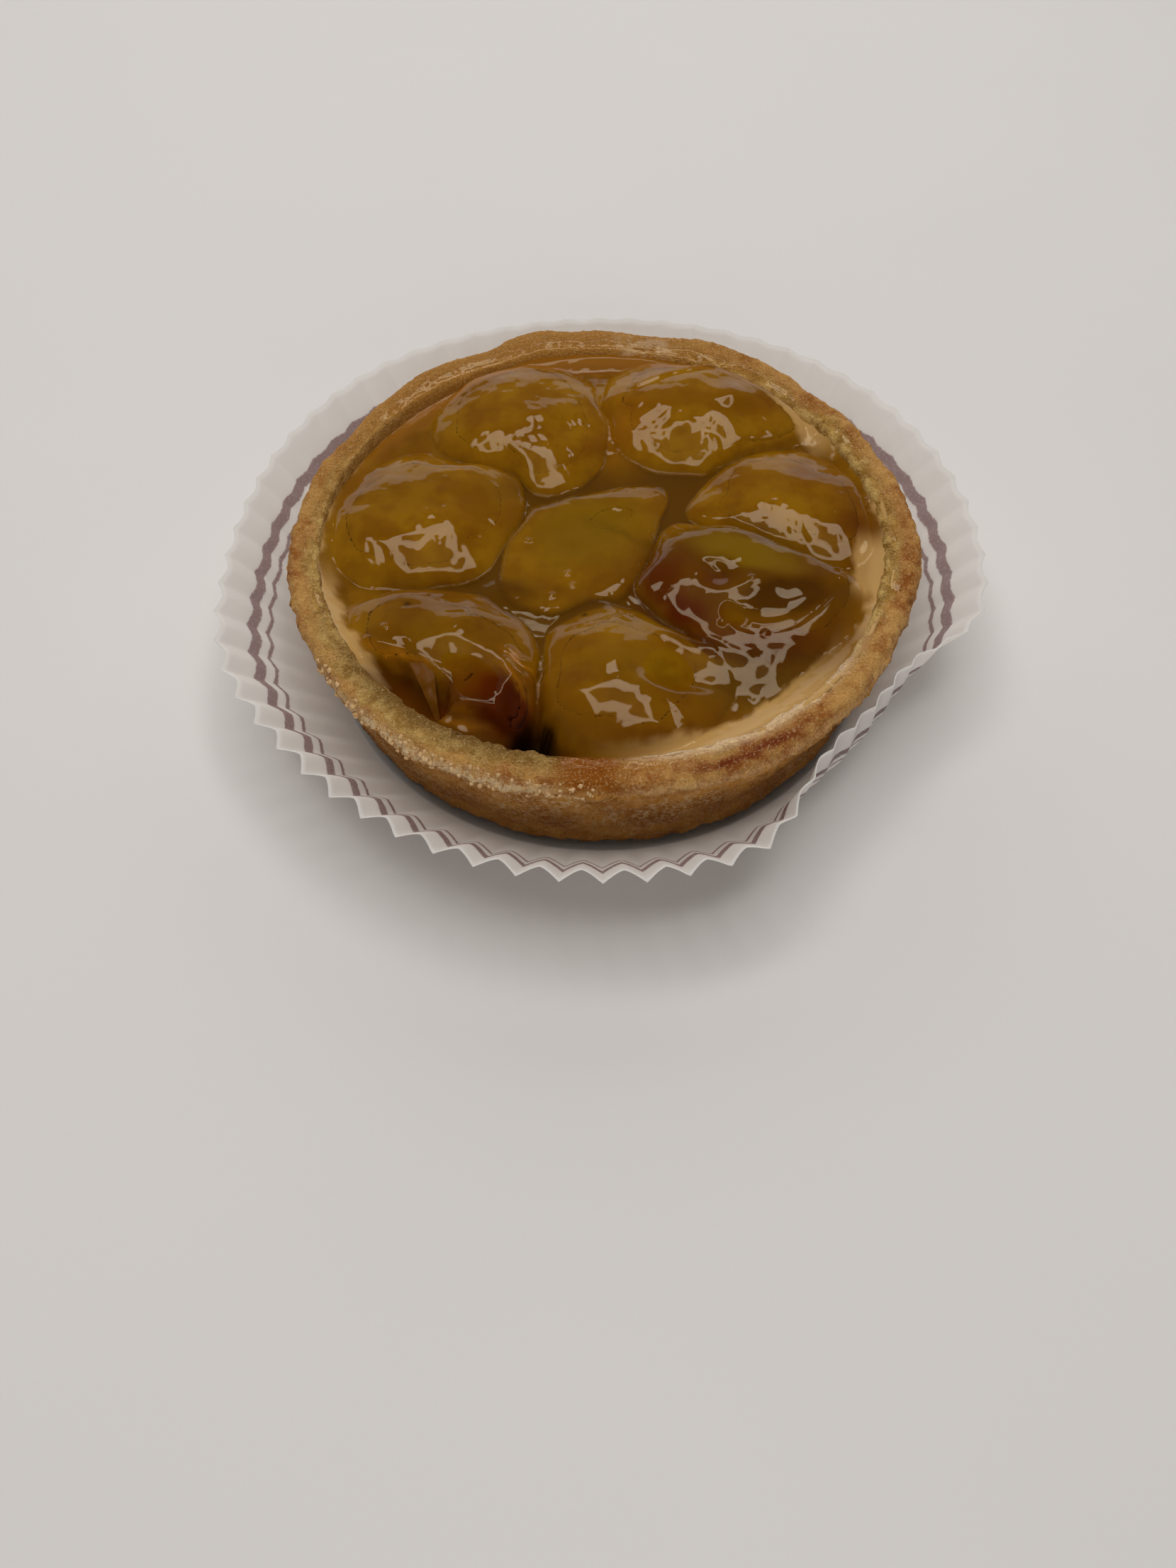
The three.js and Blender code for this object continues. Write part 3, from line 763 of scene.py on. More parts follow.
def paper_material():
    material, tree = new_material("paper")
    slope = painted(tree, "slope")
    fibre = grain(tree, 0.8, 4)
    cloud = grain(tree, 7.0, 2)
    wander = calculate(tree, "ADD", slope, ramp(tree, fibre, 0.2, 0.8, -STRIPE_BLUR, STRIPE_BLUR))
    bands = []
    for low, high in STRIPES:
        inside_low = ramp(tree, wander, low - STRIPE_BLUR, low + STRIPE_BLUR)
        inside_high = ramp(tree, wander, high - STRIPE_BLUR, high + STRIPE_BLUR, 1.0, 0.0)
        bands.append(calculate(tree, "MULTIPLY", inside_low, inside_high))
    stripe = calculate(tree, "ADD", bands[0], bands[1])
    ink = calculate(tree, "MULTIPLY", stripe, ramp(tree, grain(tree, 0.35, 2), 0.3, 0.5, *INK_STRENGTH))
    white = two_tone(tree, cloud, PAPER_COLOURS)
    tint = mix(tree, ink, white, two_tone(tree, painted(tree, "outer"), INK_COLOURS))
    values = {"Base Color": tint, "Roughness": 0.78, "Normal": bump(tree, fibre, 0.12, 0.1)}
    body = add_node(tree, "ShaderNodeBsdfPrincipled", values).outputs[0]
    through = add_node(tree, "ShaderNodeBsdfTranslucent", {"Color": tint}).outputs[0]
    mixed = add_node(tree, "ShaderNodeMixShader", {0: PAPER_TRANSLUCENCY, 1: body, 2: through})
    finish_with(tree, mixed.outputs[0])
    return material


# Shortcrust shell.


def well_radius(height):
    return WALL_RADIUS + WALL_WIDENING * (height - WALL_BASE)


def rim_unevenness(angle):
    out = np.zeros_like(angle)
    up = np.zeros_like(angle)
    for mark in RIM_MARKS:
        share = bell(angle, mark)
        out += mark["out"] * share
        up += mark["up"] * share
    for wave in RIM_WAVES:
        share = np.sin(wave["waves"] * angle + wave["phase"])
        out += wave["out"] * share
        up += wave["up"] * share
    return out, up


def crust_rings():
    """The shell's rings and, for each, its place along the section counted in section points."""
    angle = full_circle(CRUST_STEPS)
    out, up = rim_unevenness(angle)
    broad = BROAD_RIM["inward"] * bell(angle, BROAD_RIM)
    corners = []
    for index, (radius, height, out_share, up_share) in enumerate(CRUST_SECTION):
        inward = broad if index == SLOPE_POINT else 0.0
        corners.append(np.stack([radius - inward + out_share * out, height + up_share * up], axis=-1))
    corners = np.stack(corners)
    rows = []
    places = []
    for index, splits in enumerate(SECTION_SPLITS):
        before, start, end, after = (corners[np.clip(index + k, 0, len(corners) - 1)] for k in (-1, 0, 1, 2))
        for step in range(splits):
            share = step / splits
            curve = 2 * start + (end - before) * share
            curve = curve + (2 * before - 5 * start + 4 * end - after) * share ** 2
            curve = curve + (3 * start - before - 3 * end + after) * share ** 3
            rows.append(0.5 * curve)
            places.append(index + share)
    rows.append(corners[-1])
    places.append(len(corners) - 1)
    section = np.stack(rows)
    return polar(section[..., 0], angle, section[..., 1]), np.array(places), angle


def near(place, mark):
    """1 at a mark's place along the section and 0 away from it."""
    return np.exp(-((place - mark["place"]) / mark["spread"]) ** 2)


def crust_zones(place, turn):
    """Shares from 0 to 1 of the stretches that the crust's relief and finish follow."""
    ridge = around(turn, FLOURY_RIDGE) * near(place, CRUMBLY_EDGE)
    crumbly = CRUMBLY_FRONT["share"] * around(turn, CRUMBLY_FRONT) * near(place, CRUMBLY_EDGE)
    return {
        "wall": band(place, *OUTER_WALL),
        "rim": band(place, *RIM),
        "ridge": ridge,
        "crumbly": np.maximum(ridge, crumbly),
        "back": around(turn, GLAZED_BACK),
        "broken": around(turn, BROKEN_FRONT) * band(place, *BROKEN_SLOPE),
        "crack": bell(turn, CRACK) * near(place, CRACK),
    }


def crust_relief(rings, zones):
    """How far the crust's fine unevenness stands out."""
    def bumps(kind):
        return uneven(rings, CRUST_LUMPS[kind])
    relief = bumps("swells") * (zones["wall"] + zones["rim"])
    relief += bumps("rim") * zones["rim"] * (1 - GLAZED_BACK["calm"] * zones["back"])
    relief += bumps("wall") * zones["wall"]
    relief += bumps("grain") * (zones["rim"] + zones["wall"])
    relief += zones["crumbly"] * (CRUMBLE_LEAST + np.abs(bumps("crumble")))
    relief += bumps("broken") * zones["broken"]
    return relief - CRACK["deep"] * zones["crack"]


def crust_finish(ragged, rings, place, turn, zones):
    """What the crust's material reads, from places along the section, plain and with ragged edges."""
    def sets_in(where, name):
        return rise(where, *FINISH_STARTS[name])
    flour = np.clip(zones["wall"] * (FLOUR_LEAST + uneven(rings, FLOUR_CLOUDS)), 0, 1)
    # Painted reflections on the glaze drips on the back inner wall.
    drip_sheen = around(turn, PALE_DRIP_SHEEN) * rise(uneven(rings, PALE_DRIP_SHEEN["lumps"]), *PALE_DRIP_SHEEN["gaps"])
    drip_sheen = PALE_DRIP_SHEEN["share"] * drip_sheen * sets_in(place, "drip_sheen")
    line = place + BURNT_LINE["ragged"] * (ragged - place)
    inner = sets_in(ragged + WIDE_INNER["early"] * around(turn, WIDE_INNER), "inner")
    orange = around(turn, ORANGE_DRIP)
    return {
        "inner": inner,
        "rim": sets_in(ragged, "rim"),
        "flour": flour * sets_in(place, "flour"),
        "caramel": np.maximum(around(turn, BURNT_LINE) * near(line, BURNT_LINE), zones["crack"]),
        "pale": np.maximum(around(turn, PALE_RUN_AND_SHEEN) * sets_in(place, "pale"), drip_sheen),
        "glazed": sets_in(ragged, "glazed") * zones["back"] * GLAZED_BACK["share"],
        # Painted shade on the inner face at the front left.
        "shade": inner * sets_in(place, "shade") * around(turn, SHADED_INNER),
        "orange": orange * sets_in(ragged, "orange"),
        "flake": np.maximum(zones["ridge"], FLOURY_SHARE * zones["crumbly"]) * (1 - orange),
    }


def make_crust():
    rings, place, angle = crust_rings()
    place, turn = np.meshgrid(place, angle, indexing="ij")
    zones = crust_zones(place, turn)
    ragged = place + uneven(rings, RAGGED_EDGE)
    rings = rings + grid_normals(rings) * crust_relief(rings, zones)[..., None]
    points, faces = loft((0, 0, CRUST_SECTION[0][1]), rings, (0, 0, WELL_FLOOR))
    finish = crust_finish(ragged, rings, place, turn, zones)
    values = {key: np.concatenate([[0], share.ravel(), [key == "inner"]]) for key, share in finish.items()}
    made = make_object("crust_shell", points, faces, crust_material(), values)
    return add_piece(made, "crust")


def make_crumbs(crust):
    """Loose crumbs on the floury ridge of the rim."""
    draw = np.random.default_rng(CRUMBS["seed"])
    ball, triangles = sphere_directions(CRUMB_SPLITS)
    points = []
    faces = []
    for number in range(CRUMBS["count"]):
        turn = math.radians(CRUMBS["at"] + CRUMBS["wide"] * draw.uniform(-1, 1)) % TURN
        step = int(turn / TURN * CRUST_STEPS)
        row = draw.integers(*CRUMBS["rows"])
        place = np.array(crust.data.vertices[1 + row * CRUST_STEPS + step].co) / MM
        size = draw.uniform(*CRUMBS["size"])
        bumps = uneven(ball + number * CRUMB_NOISE_STEP, CRUMB_LUMPS)[:, None]
        lump = ball * size * (1 + bumps) * draw.uniform(*CRUMBS["stretch"], 3)
        faces += [[index + len(points) for index in face] for face in triangles]
        points += (lump + place).tolist()
    material = plain_material("crumb", 0.9, 3, CRUMB_COLOURS, {"Roughness": 0.85})
    return add_piece(make_object("crumbs", points, faces, material))


def crust_material():
    """Baked crust: a brown wall, a toasted rim and a cream inner face, then tints with painted shade and
    sheen, flour and flecks.
    """
    material, tree = new_material("crust")
    shades = {key: colour(*shade) for key, shade in CRUST_COLOURS.items()}
    cloud = grain(tree, 6.0, 4)
    mottle = grain(tree, 2.0, 4, 0.6)
    speck = grain(tree, 0.7, 3, 0.7)
    fine = grain(tree, 0.3, 2, 0.6)
    wall = mix(tree, ramp(tree, cloud, 0.35, 0.65), shades["wall_dark"], shades["wall_light"])
    wall = mix(tree, ramp(tree, speck, 0.28, 0.42, 0.6, 0.0), wall, shades["wall_speck"])
    toasted_spots = ramp(tree, mottle, 0.42, 0.6, 0.0, 0.6)
    toasted_clouds = ramp(tree, cloud, 0.42, 0.58, -0.2, 0.4)
    toast = calculate(tree, "ADD", toasted_spots, toasted_clouds)
    baked = mix(tree, toast, shades["baked_light"], shades["baked_dark"])
    tone = mix(tree, painted(tree, "rim"), wall, baked)
    cream = mix(tree, ramp(tree, mottle, 0.36, 0.64), shades["cream_dark"], shades["cream_light"])
    tone = mix(tree, painted(tree, "inner"), tone, cream)
    tone = tinted(tree, tone, CRUST_TINTS)
    dusty_specks = ramp(tree, speck, 0.44, 0.6, 0.0, 0.9)
    dusty = calculate(tree, "MULTIPLY", dusty_specks, ramp(tree, mottle, 0.38, 0.58, 0.15, 1.0))
    flour = calculate(tree, "MULTIPLY", painted(tree, "flour"), dusty)
    flaky = calculate(tree, "MULTIPLY", painted(tree, "flake"), ramp(tree, speck, 0.38, 0.52, 0.1, 1.0))
    tone = mix(tree, calculate(tree, "MAXIMUM", flour, flaky), tone, shades["flour"])
    tone = mix(tree, ramp(tree, fine, 0.53, 0.68, 0.0, 0.42), tone, shades["fleck_light"])
    tone = mix(tree, ramp(tree, fine, 0.3, 0.43, 0.34, 0.0), tone, shades["fleck_dark"])
    relief = bump(tree, calculate(tree, "ADD", speck, fine), 0.85, 0.6)
    finish_opaque(tree, {"Base Color": tone, "Roughness": 0.8, "Specular IOR Level": 0.2, "Normal": relief})
    return material


# Plums.


def sphere_directions(splits):
    ball = bmesh.new()
    bmesh.ops.create_icosphere(ball, subdivisions=splits, radius=1.0)
    directions = np.array([vert.co for vert in ball.verts])
    faces = [[vert.index for vert in face.verts] for face in ball.faces]
    ball.free()
    return directions / np.linalg.norm(directions, axis=1, keepdims=True), faces


def own_axes(plum, directions):
    """Directions turned into a plum's own axes, its length along X."""
    turn = math.radians(plum["turn"])
    x = directions[..., 0] * math.cos(turn) + directions[..., 1] * math.sin(turn)
    y = directions[..., 1] * math.cos(turn) - directions[..., 0] * math.sin(turn)
    return np.stack([x, y, directions[..., 2]], axis=-1)


def angle_from(own, towards):
    """Degrees between directions and one unit direction."""
    axis = np.array(towards) / np.linalg.norm(towards)
    return np.degrees(np.arccos(np.clip(own @ axis, -1, 1)))


def free_reach(plum, own):
    """Distance from a plum's centre to its free skin."""
    long, wide, high = plum["half"]
    width = wide * (1 - plum["taper"] * own[..., 0])
    reach = 1 / np.sqrt((own[..., 0] / long) ** 2 + (own[..., 1] / width) ** 2 + (own[..., 2] / high) ** 2)
    for towards, half_width, depth in plum["marks"]:
        reach = reach - depth * np.exp(-((angle_from(own, towards) / half_width) ** 2))
    return reach


def neighbour_planes(plum):
    """Planes that keep a plum clear of its neighbours, halfway where both press equally."""
    centre = np.array(plum["centre"])
    planes = []
    for other in PLUMS:
        between = np.array(other["centre"]) - centre
        apart = np.linalg.norm(between)
        if other is plum or apart > NEIGHBOUR_REACH:
            continue
        normal = between / apart
        mine = free_reach(plum, own_axes(plum, normal))
        theirs = free_reach(other, own_axes(other, -normal))
        planes.append((normal, apart * mine / (mine + theirs) - PLUM_GAP / 2))
    return planes


def wall_reach(plum, directions):
    """Distance along directions from a plum's centre to the jelly film on the well's wall."""
    x, y, z = plum["centre"]
    limit = well_radius(z) - PLUM_WALL_GAP
    slope = WALL_WIDENING * directions[:, 2]
    squared = np.maximum(directions[:, 0] ** 2 + directions[:, 1] ** 2 - slope ** 2, TINY)
    plain = x * directions[:, 0] + y * directions[:, 1] - limit * slope
    fixed = x ** 2 + y ** 2 - limit ** 2
    return (-plain + np.sqrt(plain * plain - squared * fixed)) / squared


def plum_points(plum, directions, margin):
    """The plum's skin along directions, pressed by neighbours, well wall and floor."""
    limits = [free_reach(plum, own_axes(plum, directions)), wall_reach(plum, directions)]
    down = np.minimum(directions[:, 2], -TINY)
    limits.append((PLUM_FLOOR - plum["centre"][2]) / down)
    for normal, reach in neighbour_planes(plum):
        limits.append(reach / np.maximum(directions @ normal, TINY))
    total = sum(limit ** -PRESS_SHARPNESS for limit in limits)
    return directions * (total ** (-1 / PRESS_SHARPNESS) + margin)[:, None] + np.array(plum["centre"])


def plum_skin(plum, directions, number):
    """The plum's skin with its own unevenness and its torn places."""
    points = plum_points(plum, directions, -PLUM_RELIEF_MARGIN)
    relief = sum(uneven(points, kind, number) for kind in PLUM_RELIEF)
    points = points + directions * relief[:, None]
    free = 1 - rise(np.hypot(points[:, 0], points[:, 1]), *PLUM_WARP_FADE)
    level = points * np.array([1.0, 1.0, 0.0])
    for axis in (0, 1):
        points[:, axis] += free * uneven(level, PLUM_WARP, axis)
    upper = rise(points[:, 2] - plum["centre"][2], *DENT_HEIGHTS)
    for dent in PLUM_DENTS:
        points[:, 2] += upper * plan_form(dent, points[:, 0], points[:, 1])
    return points


def patch_values(points):
    """How far each colour patch has set in, at points in millimetres."""
    wobble = uneven(points, PATCH_WOBBLE)
    x = points[:, 0] + wobble
    y = points[:, 1] + wobble
    values = {}
    for key, forms in PLUM_PATCHES.items():
        values[key] = np.clip(sum(plan_form(form, x, y) for form in forms), 0, 1)
    return values


def make_plum(plum, number, material):
    directions, faces = sphere_directions(FLESH_SPLITS)
    points = plum_skin(plum, directions, number) - directions * PLUM_SKIN_DEPTH
    made = make_object(plum["name"] + "_flesh", points, faces, material, patch_values(points))
    return add_piece(made, plum["name"])


def fruit_material(name):
    """Amber fruit, shared by the plums and the jelly between them, with painted shade and painted highlights
    among its tints.
    """
    material, tree = new_material(name)
    shades = {key: colour(*shade) for key, shade in FRUIT_COLOURS.items()}
    place = add_node(tree, "ShaderNodeTexCoord").outputs["Object"]
    height = add_node(tree, "ShaderNodeSeparateXYZ", {0: place}).outputs["Z"]
    # Painted shade: the fruit darkens towards its low parts.
    low = ramp(tree, height, LOW_FRUIT_SHADE[0] * MM, LOW_FRUIT_SHADE[1] * MM, 0.6, 0.0)
    ripeness = ramp(tree, grain(tree, 7.0, 3), 0.35, 0.65)
    tone = mix(tree, ripeness, shades["amber_dark"], shades["amber_light"])
    tone = mix(tree, ramp(tree, grain(tree, 4.0, 3), 0.48, 0.7, 0.0, 0.4), tone, shades["cloud"])
    tone = mix(tree, ramp(tree, grain(tree, 2.2, 4), 0.52, 0.74, 0.0, 0.22), tone, shades["vein"])
    tone = tinted(tree, tone, FRUIT_TINTS_UNDER)
    tone = mix(tree, low, tone, shades["low"])
    tone = tinted(tree, tone, FRUIT_TINTS_OVER)
    finish_opaque(tree, {"Base Color": tone, "Roughness": 0.5, "Specular IOR Level": 0.0})
    return material


# Jelly and glaze.


def jelly_height(x, y):
    """The jelly's free surface, with its low places and its climb at the shell's wall."""
    height = np.full(np.shape(x), JELLY_LEVEL)
    for (mark_x, mark_y), wide, up in JELLY_MARKS:
        height = height + up * np.exp(-((x - mark_x) ** 2 + (y - mark_y) ** 2) / wide ** 2)
    angle = np.arctan2(y, x)
    edge = JELLY_CLIMB_EDGE - BROAD_RIM["inward"] * bell(angle, BROAD_RIM)
    to_edge = np.clip((edge - np.hypot(x, y)) / JELLY_CLIMB_WIDTH, 0, 1)
    broken = sum(around(angle, gap) for gap in JELLY_CLIMB_BREAKS)
    climb = (JELLY_CLIMB + JELLY_FOLLOWS_RIM * rim_unevenness(angle)[1]) * np.clip(1 - broken, 0, 1)
    height = height + climb * (1 - to_edge) ** JELLY_CLIMB_POWER
    return np.maximum(height, JELLY_UNDERSIDE + JELLY_LEAST_DEPTH)


def core_depth(radius, angle):
    """How far the jelly's body lies below its surface: shallow on a shelf at the wall, deep elsewhere."""
    shelf = rise(radius, SHELF["start"], SHELF["end"]) * (1 - around(angle, SHELF_BREAK))
    return JELLY_BELOW_GLAZE + (SHELF["below"] - JELLY_BELOW_GLAZE) * shelf


def mesh_points(made):
    """The points of a piece in millimetres."""
    return np.array([vert.co for vert in made.data.vertices]) / MM


def mesh_faces(made):
    return [tuple(face.vertices) for face in made.data.polygons]


def shelf_radius(crust, angle, height):
    """Radius of the shell's inner face along each direction at a height for each."""
    tree = BVHTree.FromPolygons(mesh_points(crust).tolist(), mesh_faces(crust))
    reach = []
    for turn, level in zip(angle, height):
        outward = Vector((math.cos(turn), math.sin(turn), 0))
        hit = tree.ray_cast(outward * SHELF["start"] + UP * level, outward)[0]
        reach.append(math.hypot(hit.x, hit.y))
    return np.array(reach)


def make_jelly(skins, faces, cutters, crust):
    """The jelly's body: a sagging sheet that climbs the plums' sides and the shell's wall."""
    angle = full_circle(JELLY_STEPS)
    wall = polar(well_radius(JELLY_LEVEL), angle, 0.0)
    rim = jelly_height(wall[:, 0], wall[:, 1]) - core_depth(well_radius(JELLY_LEVEL), angle)
    edge = shelf_radius(crust, angle, rim) + SHELF["under_crust"]
    shares = np.linspace(1.0, 1.0 / JELLY_RINGS, JELLY_RINGS)
    radius = shares[:, None] * edge[None, :]
    places = polar(radius, angle, 0.0).reshape(-1, 3)[:, :2]
    base = jelly_height(places[:, 0], places[:, 1]) - core_depth(radius, angle).ravel()
    sides = [heights_from_above(skin, faces, places) - PLUM_SKIN_DEPTH - CORE_TUCK for skin in skins]
    height = rounded_most([base] + sides, CORE_BLEND)
    height = np.maximum(height, JELLY_UNDERSIDE + JELLY_LEAST_DEPTH)
    top = polar(radius, angle, height.reshape(radius.shape))
    ledge = np.minimum(JELLY_LEDGE["highest"], top[0, :, 2] - JELLY_LEDGE["below_edge"])
    foot = well_radius(WALL_BASE)
    rows = [
        polar(foot - JELLY_FOOT["inward"], angle, JELLY_UNDERSIDE),
        polar(foot - JELLY_WALL_GAP, angle, WALL_BASE + JELLY_FOOT["up"]),
        polar(well_radius(ledge) - JELLY_WALL_GAP, angle, ledge),
    ]
    rings = np.concatenate([np.stack(rows), top])
    points, quads = loft((0, 0, JELLY_UNDERSIDE), rings, (0, 0, float(top[-1, :, 2].mean())))
    made = make_object("jelly_core", points, quads, fruit_material("jelly"))
    cut_out(made, cutters)
    paint(made.data, jelly_finish(mesh_points(made)))
    return add_piece(made, "jelly")


def jelly_finish(places):
    """What the fruit material reads on the jelly, at points in millimetres."""
    x, y = places[:, 0], places[:, 1]
    radius = np.hypot(x, y)
    sunk = places[:, 2] - jelly_height(x, y) + core_depth(radius, np.arctan2(y, x))
    # Painted shade: the valley value darkens jelly that lies deep between the plums, less so towards the
    # wall.
    fade = VALLEY_SHADE_FADE["share"] * rise(radius, VALLEY_SHADE_FADE["start"], VALLEY_SHADE_FADE["end"])
    values = patch_values(places)
    values["valley"] = (1 - rise(sunk, 0.0, VALLEY_SHADE_DEPTH)) * (1 - fade) * (1 - plan_form(VALLEY_SHADE_CLEAR, x, y))
    values["pale"] = np.clip(sum(edge_share(edge, x, y) for edge in PALE_EDGES), 0, 1)
    values["amber"] = edge_share(AMBER_EDGE, x, y)
    # Painted shade over the deep pool beside the split plum.
    values["pool"] = plan_form(POOL_SHADE, x, y)
    return values


def edge_share(edge, x, y):
    """How far a tint at the wall has set in at places seen from above."""
    wobble = uneven(np.stack([x, y, 0 * x], axis=-1), EDGE_WOBBLE)
    inside = rise(np.hypot(x, y) + wobble, edge["start"], edge["start"] + EDGE_FADE)
    return edge["up"] * around(np.arctan2(y, x), edge) * inside


def cut_out(made, cutters):
    """Cuts the pieces in a list out of a mesh."""
    group = bpy.data.collections.new("cutters")
    for cutter in cutters:
        group.objects.link(cutter)
    cut = made.modifiers.new("cut", "BOOLEAN")
    cut.operation = "DIFFERENCE"
    cut.operand_type = "COLLECTION"
    cut.collection = group
    cut.solver = "MANIFOLD"
    graph = bpy.context.evaluated_depsgraph_get()
    mesh = bpy.data.meshes.new_from_object(made.evaluated_get(graph))
    made.modifiers.clear()
    made.data = mesh
    bpy.data.collections.remove(group)


def heights_from_above(points, faces, places):
    """The height of a mesh straight below each place, or far down where there is none."""
    tree = BVHTree.FromPolygons(points.tolist(), faces)
    low = points.min(axis=0)
    high = points.max(axis=0)
    inside = np.all((places >= low[:2]) & (places <= high[:2]), axis=1)
    heights = np.full(len(places), NOTHING_BELOW)
    for index in np.flatnonzero(inside):
        hit = tree.ray_cast(Vector((*places[index], high[2] + 1)), -UP)[0]
        if hit:
            heights[index] = hit.z
    return heights


def rounded_most(layers, softness):
    """The highest of several surfaces, with a rounded valley where two meet."""
    stack = np.stack(layers) / softness
    peak = stack.max(axis=0)
    return softness * (peak + np.log(np.exp(stack - peak).sum(axis=0)))


def glaze_heights(places, angle, radius, skins, faces, crust):
    """The wet surface: plums and jelly under one film, and the runs over the rim."""
    layers = [jelly_height(places[:, 0], places[:, 1])]
    layers += [heights_from_above(skin, faces, places) - GLAZE_DEPTH for skin in skins]
    covered = np.zeros(len(places))
    wobble = uneven(polar(radius, angle, 0.0), RUN_WOBBLE)
    for run in RUNS_OVER_RIM:
        ragged = run["reach"] + wobble
        covered = np.maximum(covered, around(angle, run) * rise(-radius, -ragged, RUN_FADE - ragged))
    over = GLAZE_UNDER_CRUST + GLAZE_OVER_CRUST
    rim = heights_from_above(mesh_points(crust), mesh_faces(crust), places)
    rim = rim - GLAZE_UNDER_CRUST + over * covered
    return rounded_most([rounded_most(layers, GLAZE_BLEND), rim], GLAZE_EDGE_BLEND)


def shaped_glaze(height, x, y):
    """Glaze heights with the level places, benches, forms, bubbles and welts laid in."""
    for flat in FLAT_GLAZE:
        level = flat["height"] + flat["slope"] * (y - flat["form"].y)
        height = height + (level - height) * plan_form(flat["form"], x, y)
    for bench in GLAZE_BENCHES:
        away, point = nearest_on_route(bench["points"], x, y)
        level = point[2] + BENCH_SLOPE * (y - point[1])
        height = height + (level - height) * np.exp(-((away / bench["wide"]) ** FLAT_TOP))
    for form in GLAZE_FORMS:
        height = height + plan_form(form, x, y)
    for bubble_x, bubble_y in BUBBLES:
        away = np.hypot(x - bubble_x, y - bubble_y)
        height = height + BUBBLE_RISE * np.exp(-((away / BUBBLE_HALF_WIDTH) ** FLAT_TOP))
    for welt in GLAZE_WELTS:
        away = nearest_on_route(welt["points"], x, y)[0]
        height = height + welt["up"] * np.exp(-((away / welt["wide"]) ** 2))
    return height


def make_glaze(skins, faces, crust):
    turn = full_circle(GLAZE_STEPS)
    reach = np.linspace(GLAZE_EDGE, GLAZE_EDGE / GLAZE_RINGS, GLAZE_RINGS)
    angle = np.tile(turn, GLAZE_RINGS)
    radius = np.repeat(reach, GLAZE_STEPS)
    places = polar(radius, angle, 0.0)[:, :2]
    height = glaze_heights(places, angle, radius, skins, faces, crust)
    x, y = places.T
    height = shaped_glaze(height, x, y)
    smooth = polar(radius, angle, height)
    rough = np.maximum(1 - sum(plan_form(form, x, y) for form in CALM_GLAZE), 0)
    for kind in GLAZE_LUMPS:
        height = height + rough * uneven(smooth, kind)
    top = polar(radius, angle, height).reshape(GLAZE_RINGS, GLAZE_STEPS, 3)
    skirt = [polar(row["radius"], turn, row["height"]) for row in (GLAZE_FOOT, GLAZE_SIDE)]
    rings = np.concatenate([np.stack(skirt), top])
    middle = (0, 0, float(top[-1, :, 2].mean()))
    points, quads = loft((0, 0, GLAZE_FOOT["height"]), rings, middle)
    made = make_object("glaze", points, quads, glaze_material())
    return add_piece(made)


def make_flap():
    """The torn flap of skin: one thin wrinkled sheet between two edges."""
    turn = full_circle(FLAP_SIDES)
    edges = []
    for route in np.array(FLAP_EDGES):
        shares = np.linspace(0, len(route) - 1, FLAP_STEPS)
        edges.append(np.stack([np.interp(shares, np.arange(len(route)), axis) for axis in route.T], axis=-1))
    middle = (edges[0] + edges[1]) / 2
    half = (edges[1] - edges[0]) / 2
    over = np.cross(np.gradient(middle, axis=0), half)
    over = over / np.linalg.norm(over, axis=1, keepdims=True)
    sheet = middle[:, None] + np.cos(turn)[None, :, None] * half[:, None]
    folds = uneven(sheet, FLAP_FOLDS)[..., None]
    rings = sheet + over[:, None] * (folds + FLAP_THICKNESS / 2 * np.sin(turn)[None, :, None])
    points, faces = loft(rings[0].mean(axis=0), rings, rings[-1].mean(axis=0))
    finish = {"Roughness": 0.3, "Specular IOR Level": 0.12, "Alpha": 0.6}
    material = plain_material("flap", 1.0, 2, FLAP_COLOURS, finish)
    return add_piece(make_object("flap", points, faces, material))


def glaze_material():
    """Clear amber glaze that lets shadow and bounced light straight through."""
    material, tree = new_material("glaze")
    ripple = bump(tree, grain(tree, 1.3, 2), 0.12, 0.15)
    values = {
        "Base Color": GLAZE_TINT, "Roughness": 0.05, "IOR": 1.4, "Transmission Weight": 1.0,
        "Specular Tint": GLAZE_GLOSS_TINT, "Normal": ripple,
    }
    film = add_node(tree, "ShaderNodeBsdfPrincipled", values)
    clear = add_node(tree, "ShaderNodeBsdfTransparent", {"Color": GLAZE_SHADOW_TINT})
    path = add_node(tree, "ShaderNodeLightPath")
    unseen = calculate(tree, "MAXIMUM", path.outputs["Is Shadow Ray"], path.outputs["Is Diffuse Ray"])
    mixed = add_node(tree, "ShaderNodeMixShader", {0: unseen, 1: film.outputs[0], 2: clear.outputs[0]})
    values = {"Color": GLAZE_INSIDE_TINT, "Density": GLAZE_DENSITY}
    depth = add_node(tree, "ShaderNodeVolumeAbsorption", values)
    finish_with(tree, mixed.outputs[0], depth.outputs[0])
    return material


# Floor, light and camera.


def make_floor():
    half = FLOOR_SIZE / 2
    corners = [(-half, -half, 0), (half, -half, 0), (half, half, 0), (-half, half, 0)]
    material = plain_material("floor", 60.0, 2, FLOOR_COLOURS, {"Roughness": 0.6})
    make_object("floor", corners, [[0, 1, 2, 3]], material)


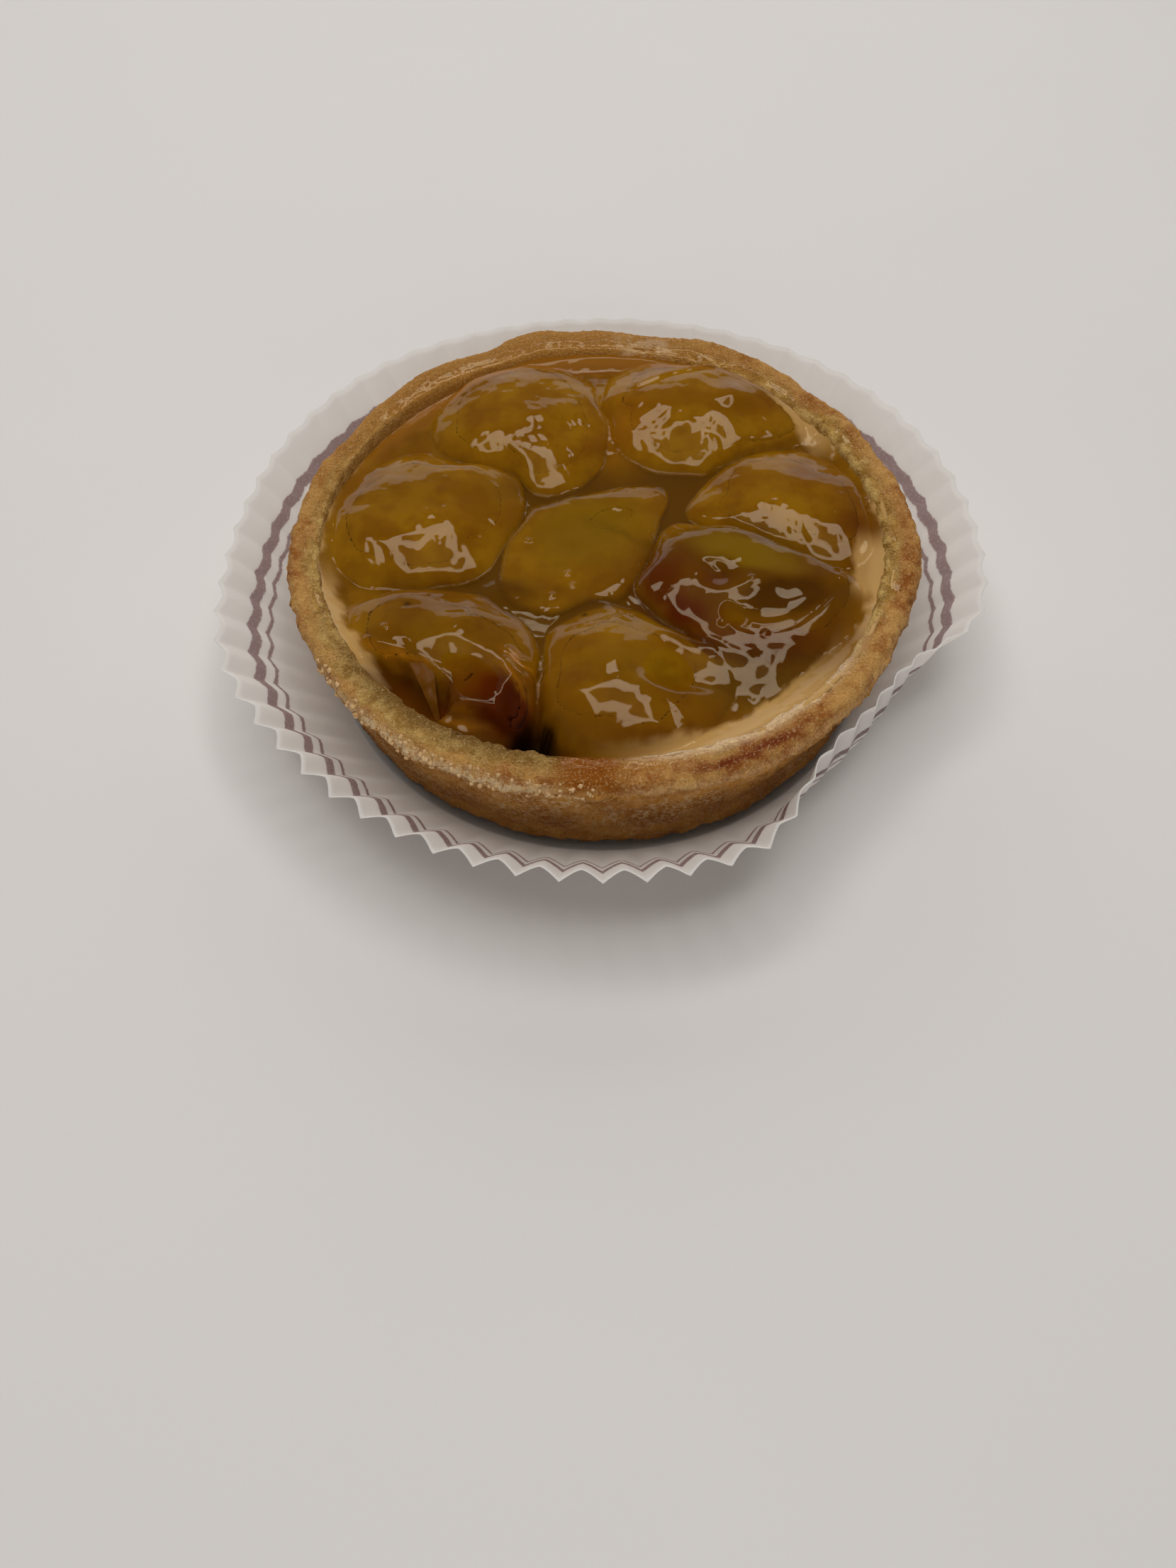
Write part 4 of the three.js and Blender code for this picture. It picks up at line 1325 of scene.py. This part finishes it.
def add_light(name, centre, offset, size, radiance):
    """A soft rectangle that faces the tartlet, moved by an offset within its own plane."""
    centre = Vector(centre)
    turn = (-centre).to_track_quat("-Z", "Y")
    lamp = bpy.data.lights.new(name, "AREA")
    lamp.shape = "RECTANGLE"
    lamp.size = size[0] * MM
    lamp.size_y = size[1] * MM
    lamp.energy = radiance * math.pi * lamp.size * lamp.size_y
    lamp.color = LIGHT_COLOUR
    made = bpy.data.objects.new(name, lamp)
    made.location = (centre + turn @ Vector((*offset, 0))) * MM
    made.rotation_euler = turn.to_euler()
    bpy.context.scene.collection.objects.link(made)
    return made


def make_lights():
    wide, deep = LIGHT_SIZE
    across = (wide - LIGHT_STRIP) / 2
    along = (deep - LIGHT_STRIP) / 2
    inner = deep - 2 * LIGHT_STRIP
    add_light("strip_back", LIGHT_CENTRE, (0, along), (wide, LIGHT_STRIP), STRIP_RADIANCE)
    add_light("strip_front", LIGHT_CENTRE, (0, -along), (wide, LIGHT_STRIP), STRIP_RADIANCE)
    add_light("strip_left", LIGHT_CENTRE, (-across, 0), (LIGHT_STRIP, inner), STRIP_RADIANCE)
    add_light("strip_right", LIGHT_CENTRE, (across, 0), (LIGHT_STRIP, inner), STRIP_RADIANCE)
    add_light("middle", LIGHT_CENTRE, (0, 0), (wide - 2 * LIGHT_STRIP, inner), MIDDLE_RADIANCE)
    add_light("wall", WALL_CENTRE, (0, 0), WALL_SIZE, WALL_RADIANCE)
    for index, fill in enumerate(FILLS):
        lamp = add_light("fill_%d" % index, fill["centre"], (0, 0), fill["size"], fill["radiance"])
        lamp.visible_glossy = False
    world = bpy.data.worlds.new("studio")
    world.use_nodes = True
    background = world.node_tree.nodes["Background"]
    background.inputs["Color"].default_value = (*LIGHT_COLOUR, 1.0)
    background.inputs["Strength"].default_value = ROOM_STRENGTH
    bpy.context.scene.world = world
    bpy.context.scene.view_settings.view_transform = "Standard"


def make_camera():
    pitch = math.radians(CAMERA_PITCH)
    lens = bpy.data.cameras.new("camera")
    lens.sensor_width = SENSOR
    lens.lens = FOCAL_PIXELS / IMAGE_HEIGHT * SENSOR
    lens.clip_start = CLIP_START * MM
    made = bpy.data.objects.new("camera", lens)
    back = Vector((0, -math.cos(pitch), math.sin(pitch))) * CAMERA_DISTANCE
    made.location = (Vector(LOOK_AT) + back) * MM
    made.rotation_euler = (math.pi / 2 - pitch, 0, 0)
    bpy.context.scene.collection.objects.link(made)
    bpy.context.scene.camera = made


def main():
    make_camera()
    make_lights()
    make_floor()
    make_paper()
    crust = make_crust()
    directions, faces = sphere_directions(SKIN_SPLITS)
    skins = [plum_skin(plum, directions, number) for number, plum in enumerate(PLUMS)]
    ripe = fruit_material("plum")
    flesh = [make_plum(plum, number, ripe) for number, plum in enumerate(PLUMS)]
    make_jelly(skins, faces, flesh, crust)
    make_glaze(skins, faces, crust)
    make_flap()
    make_crumbs(crust)


main()
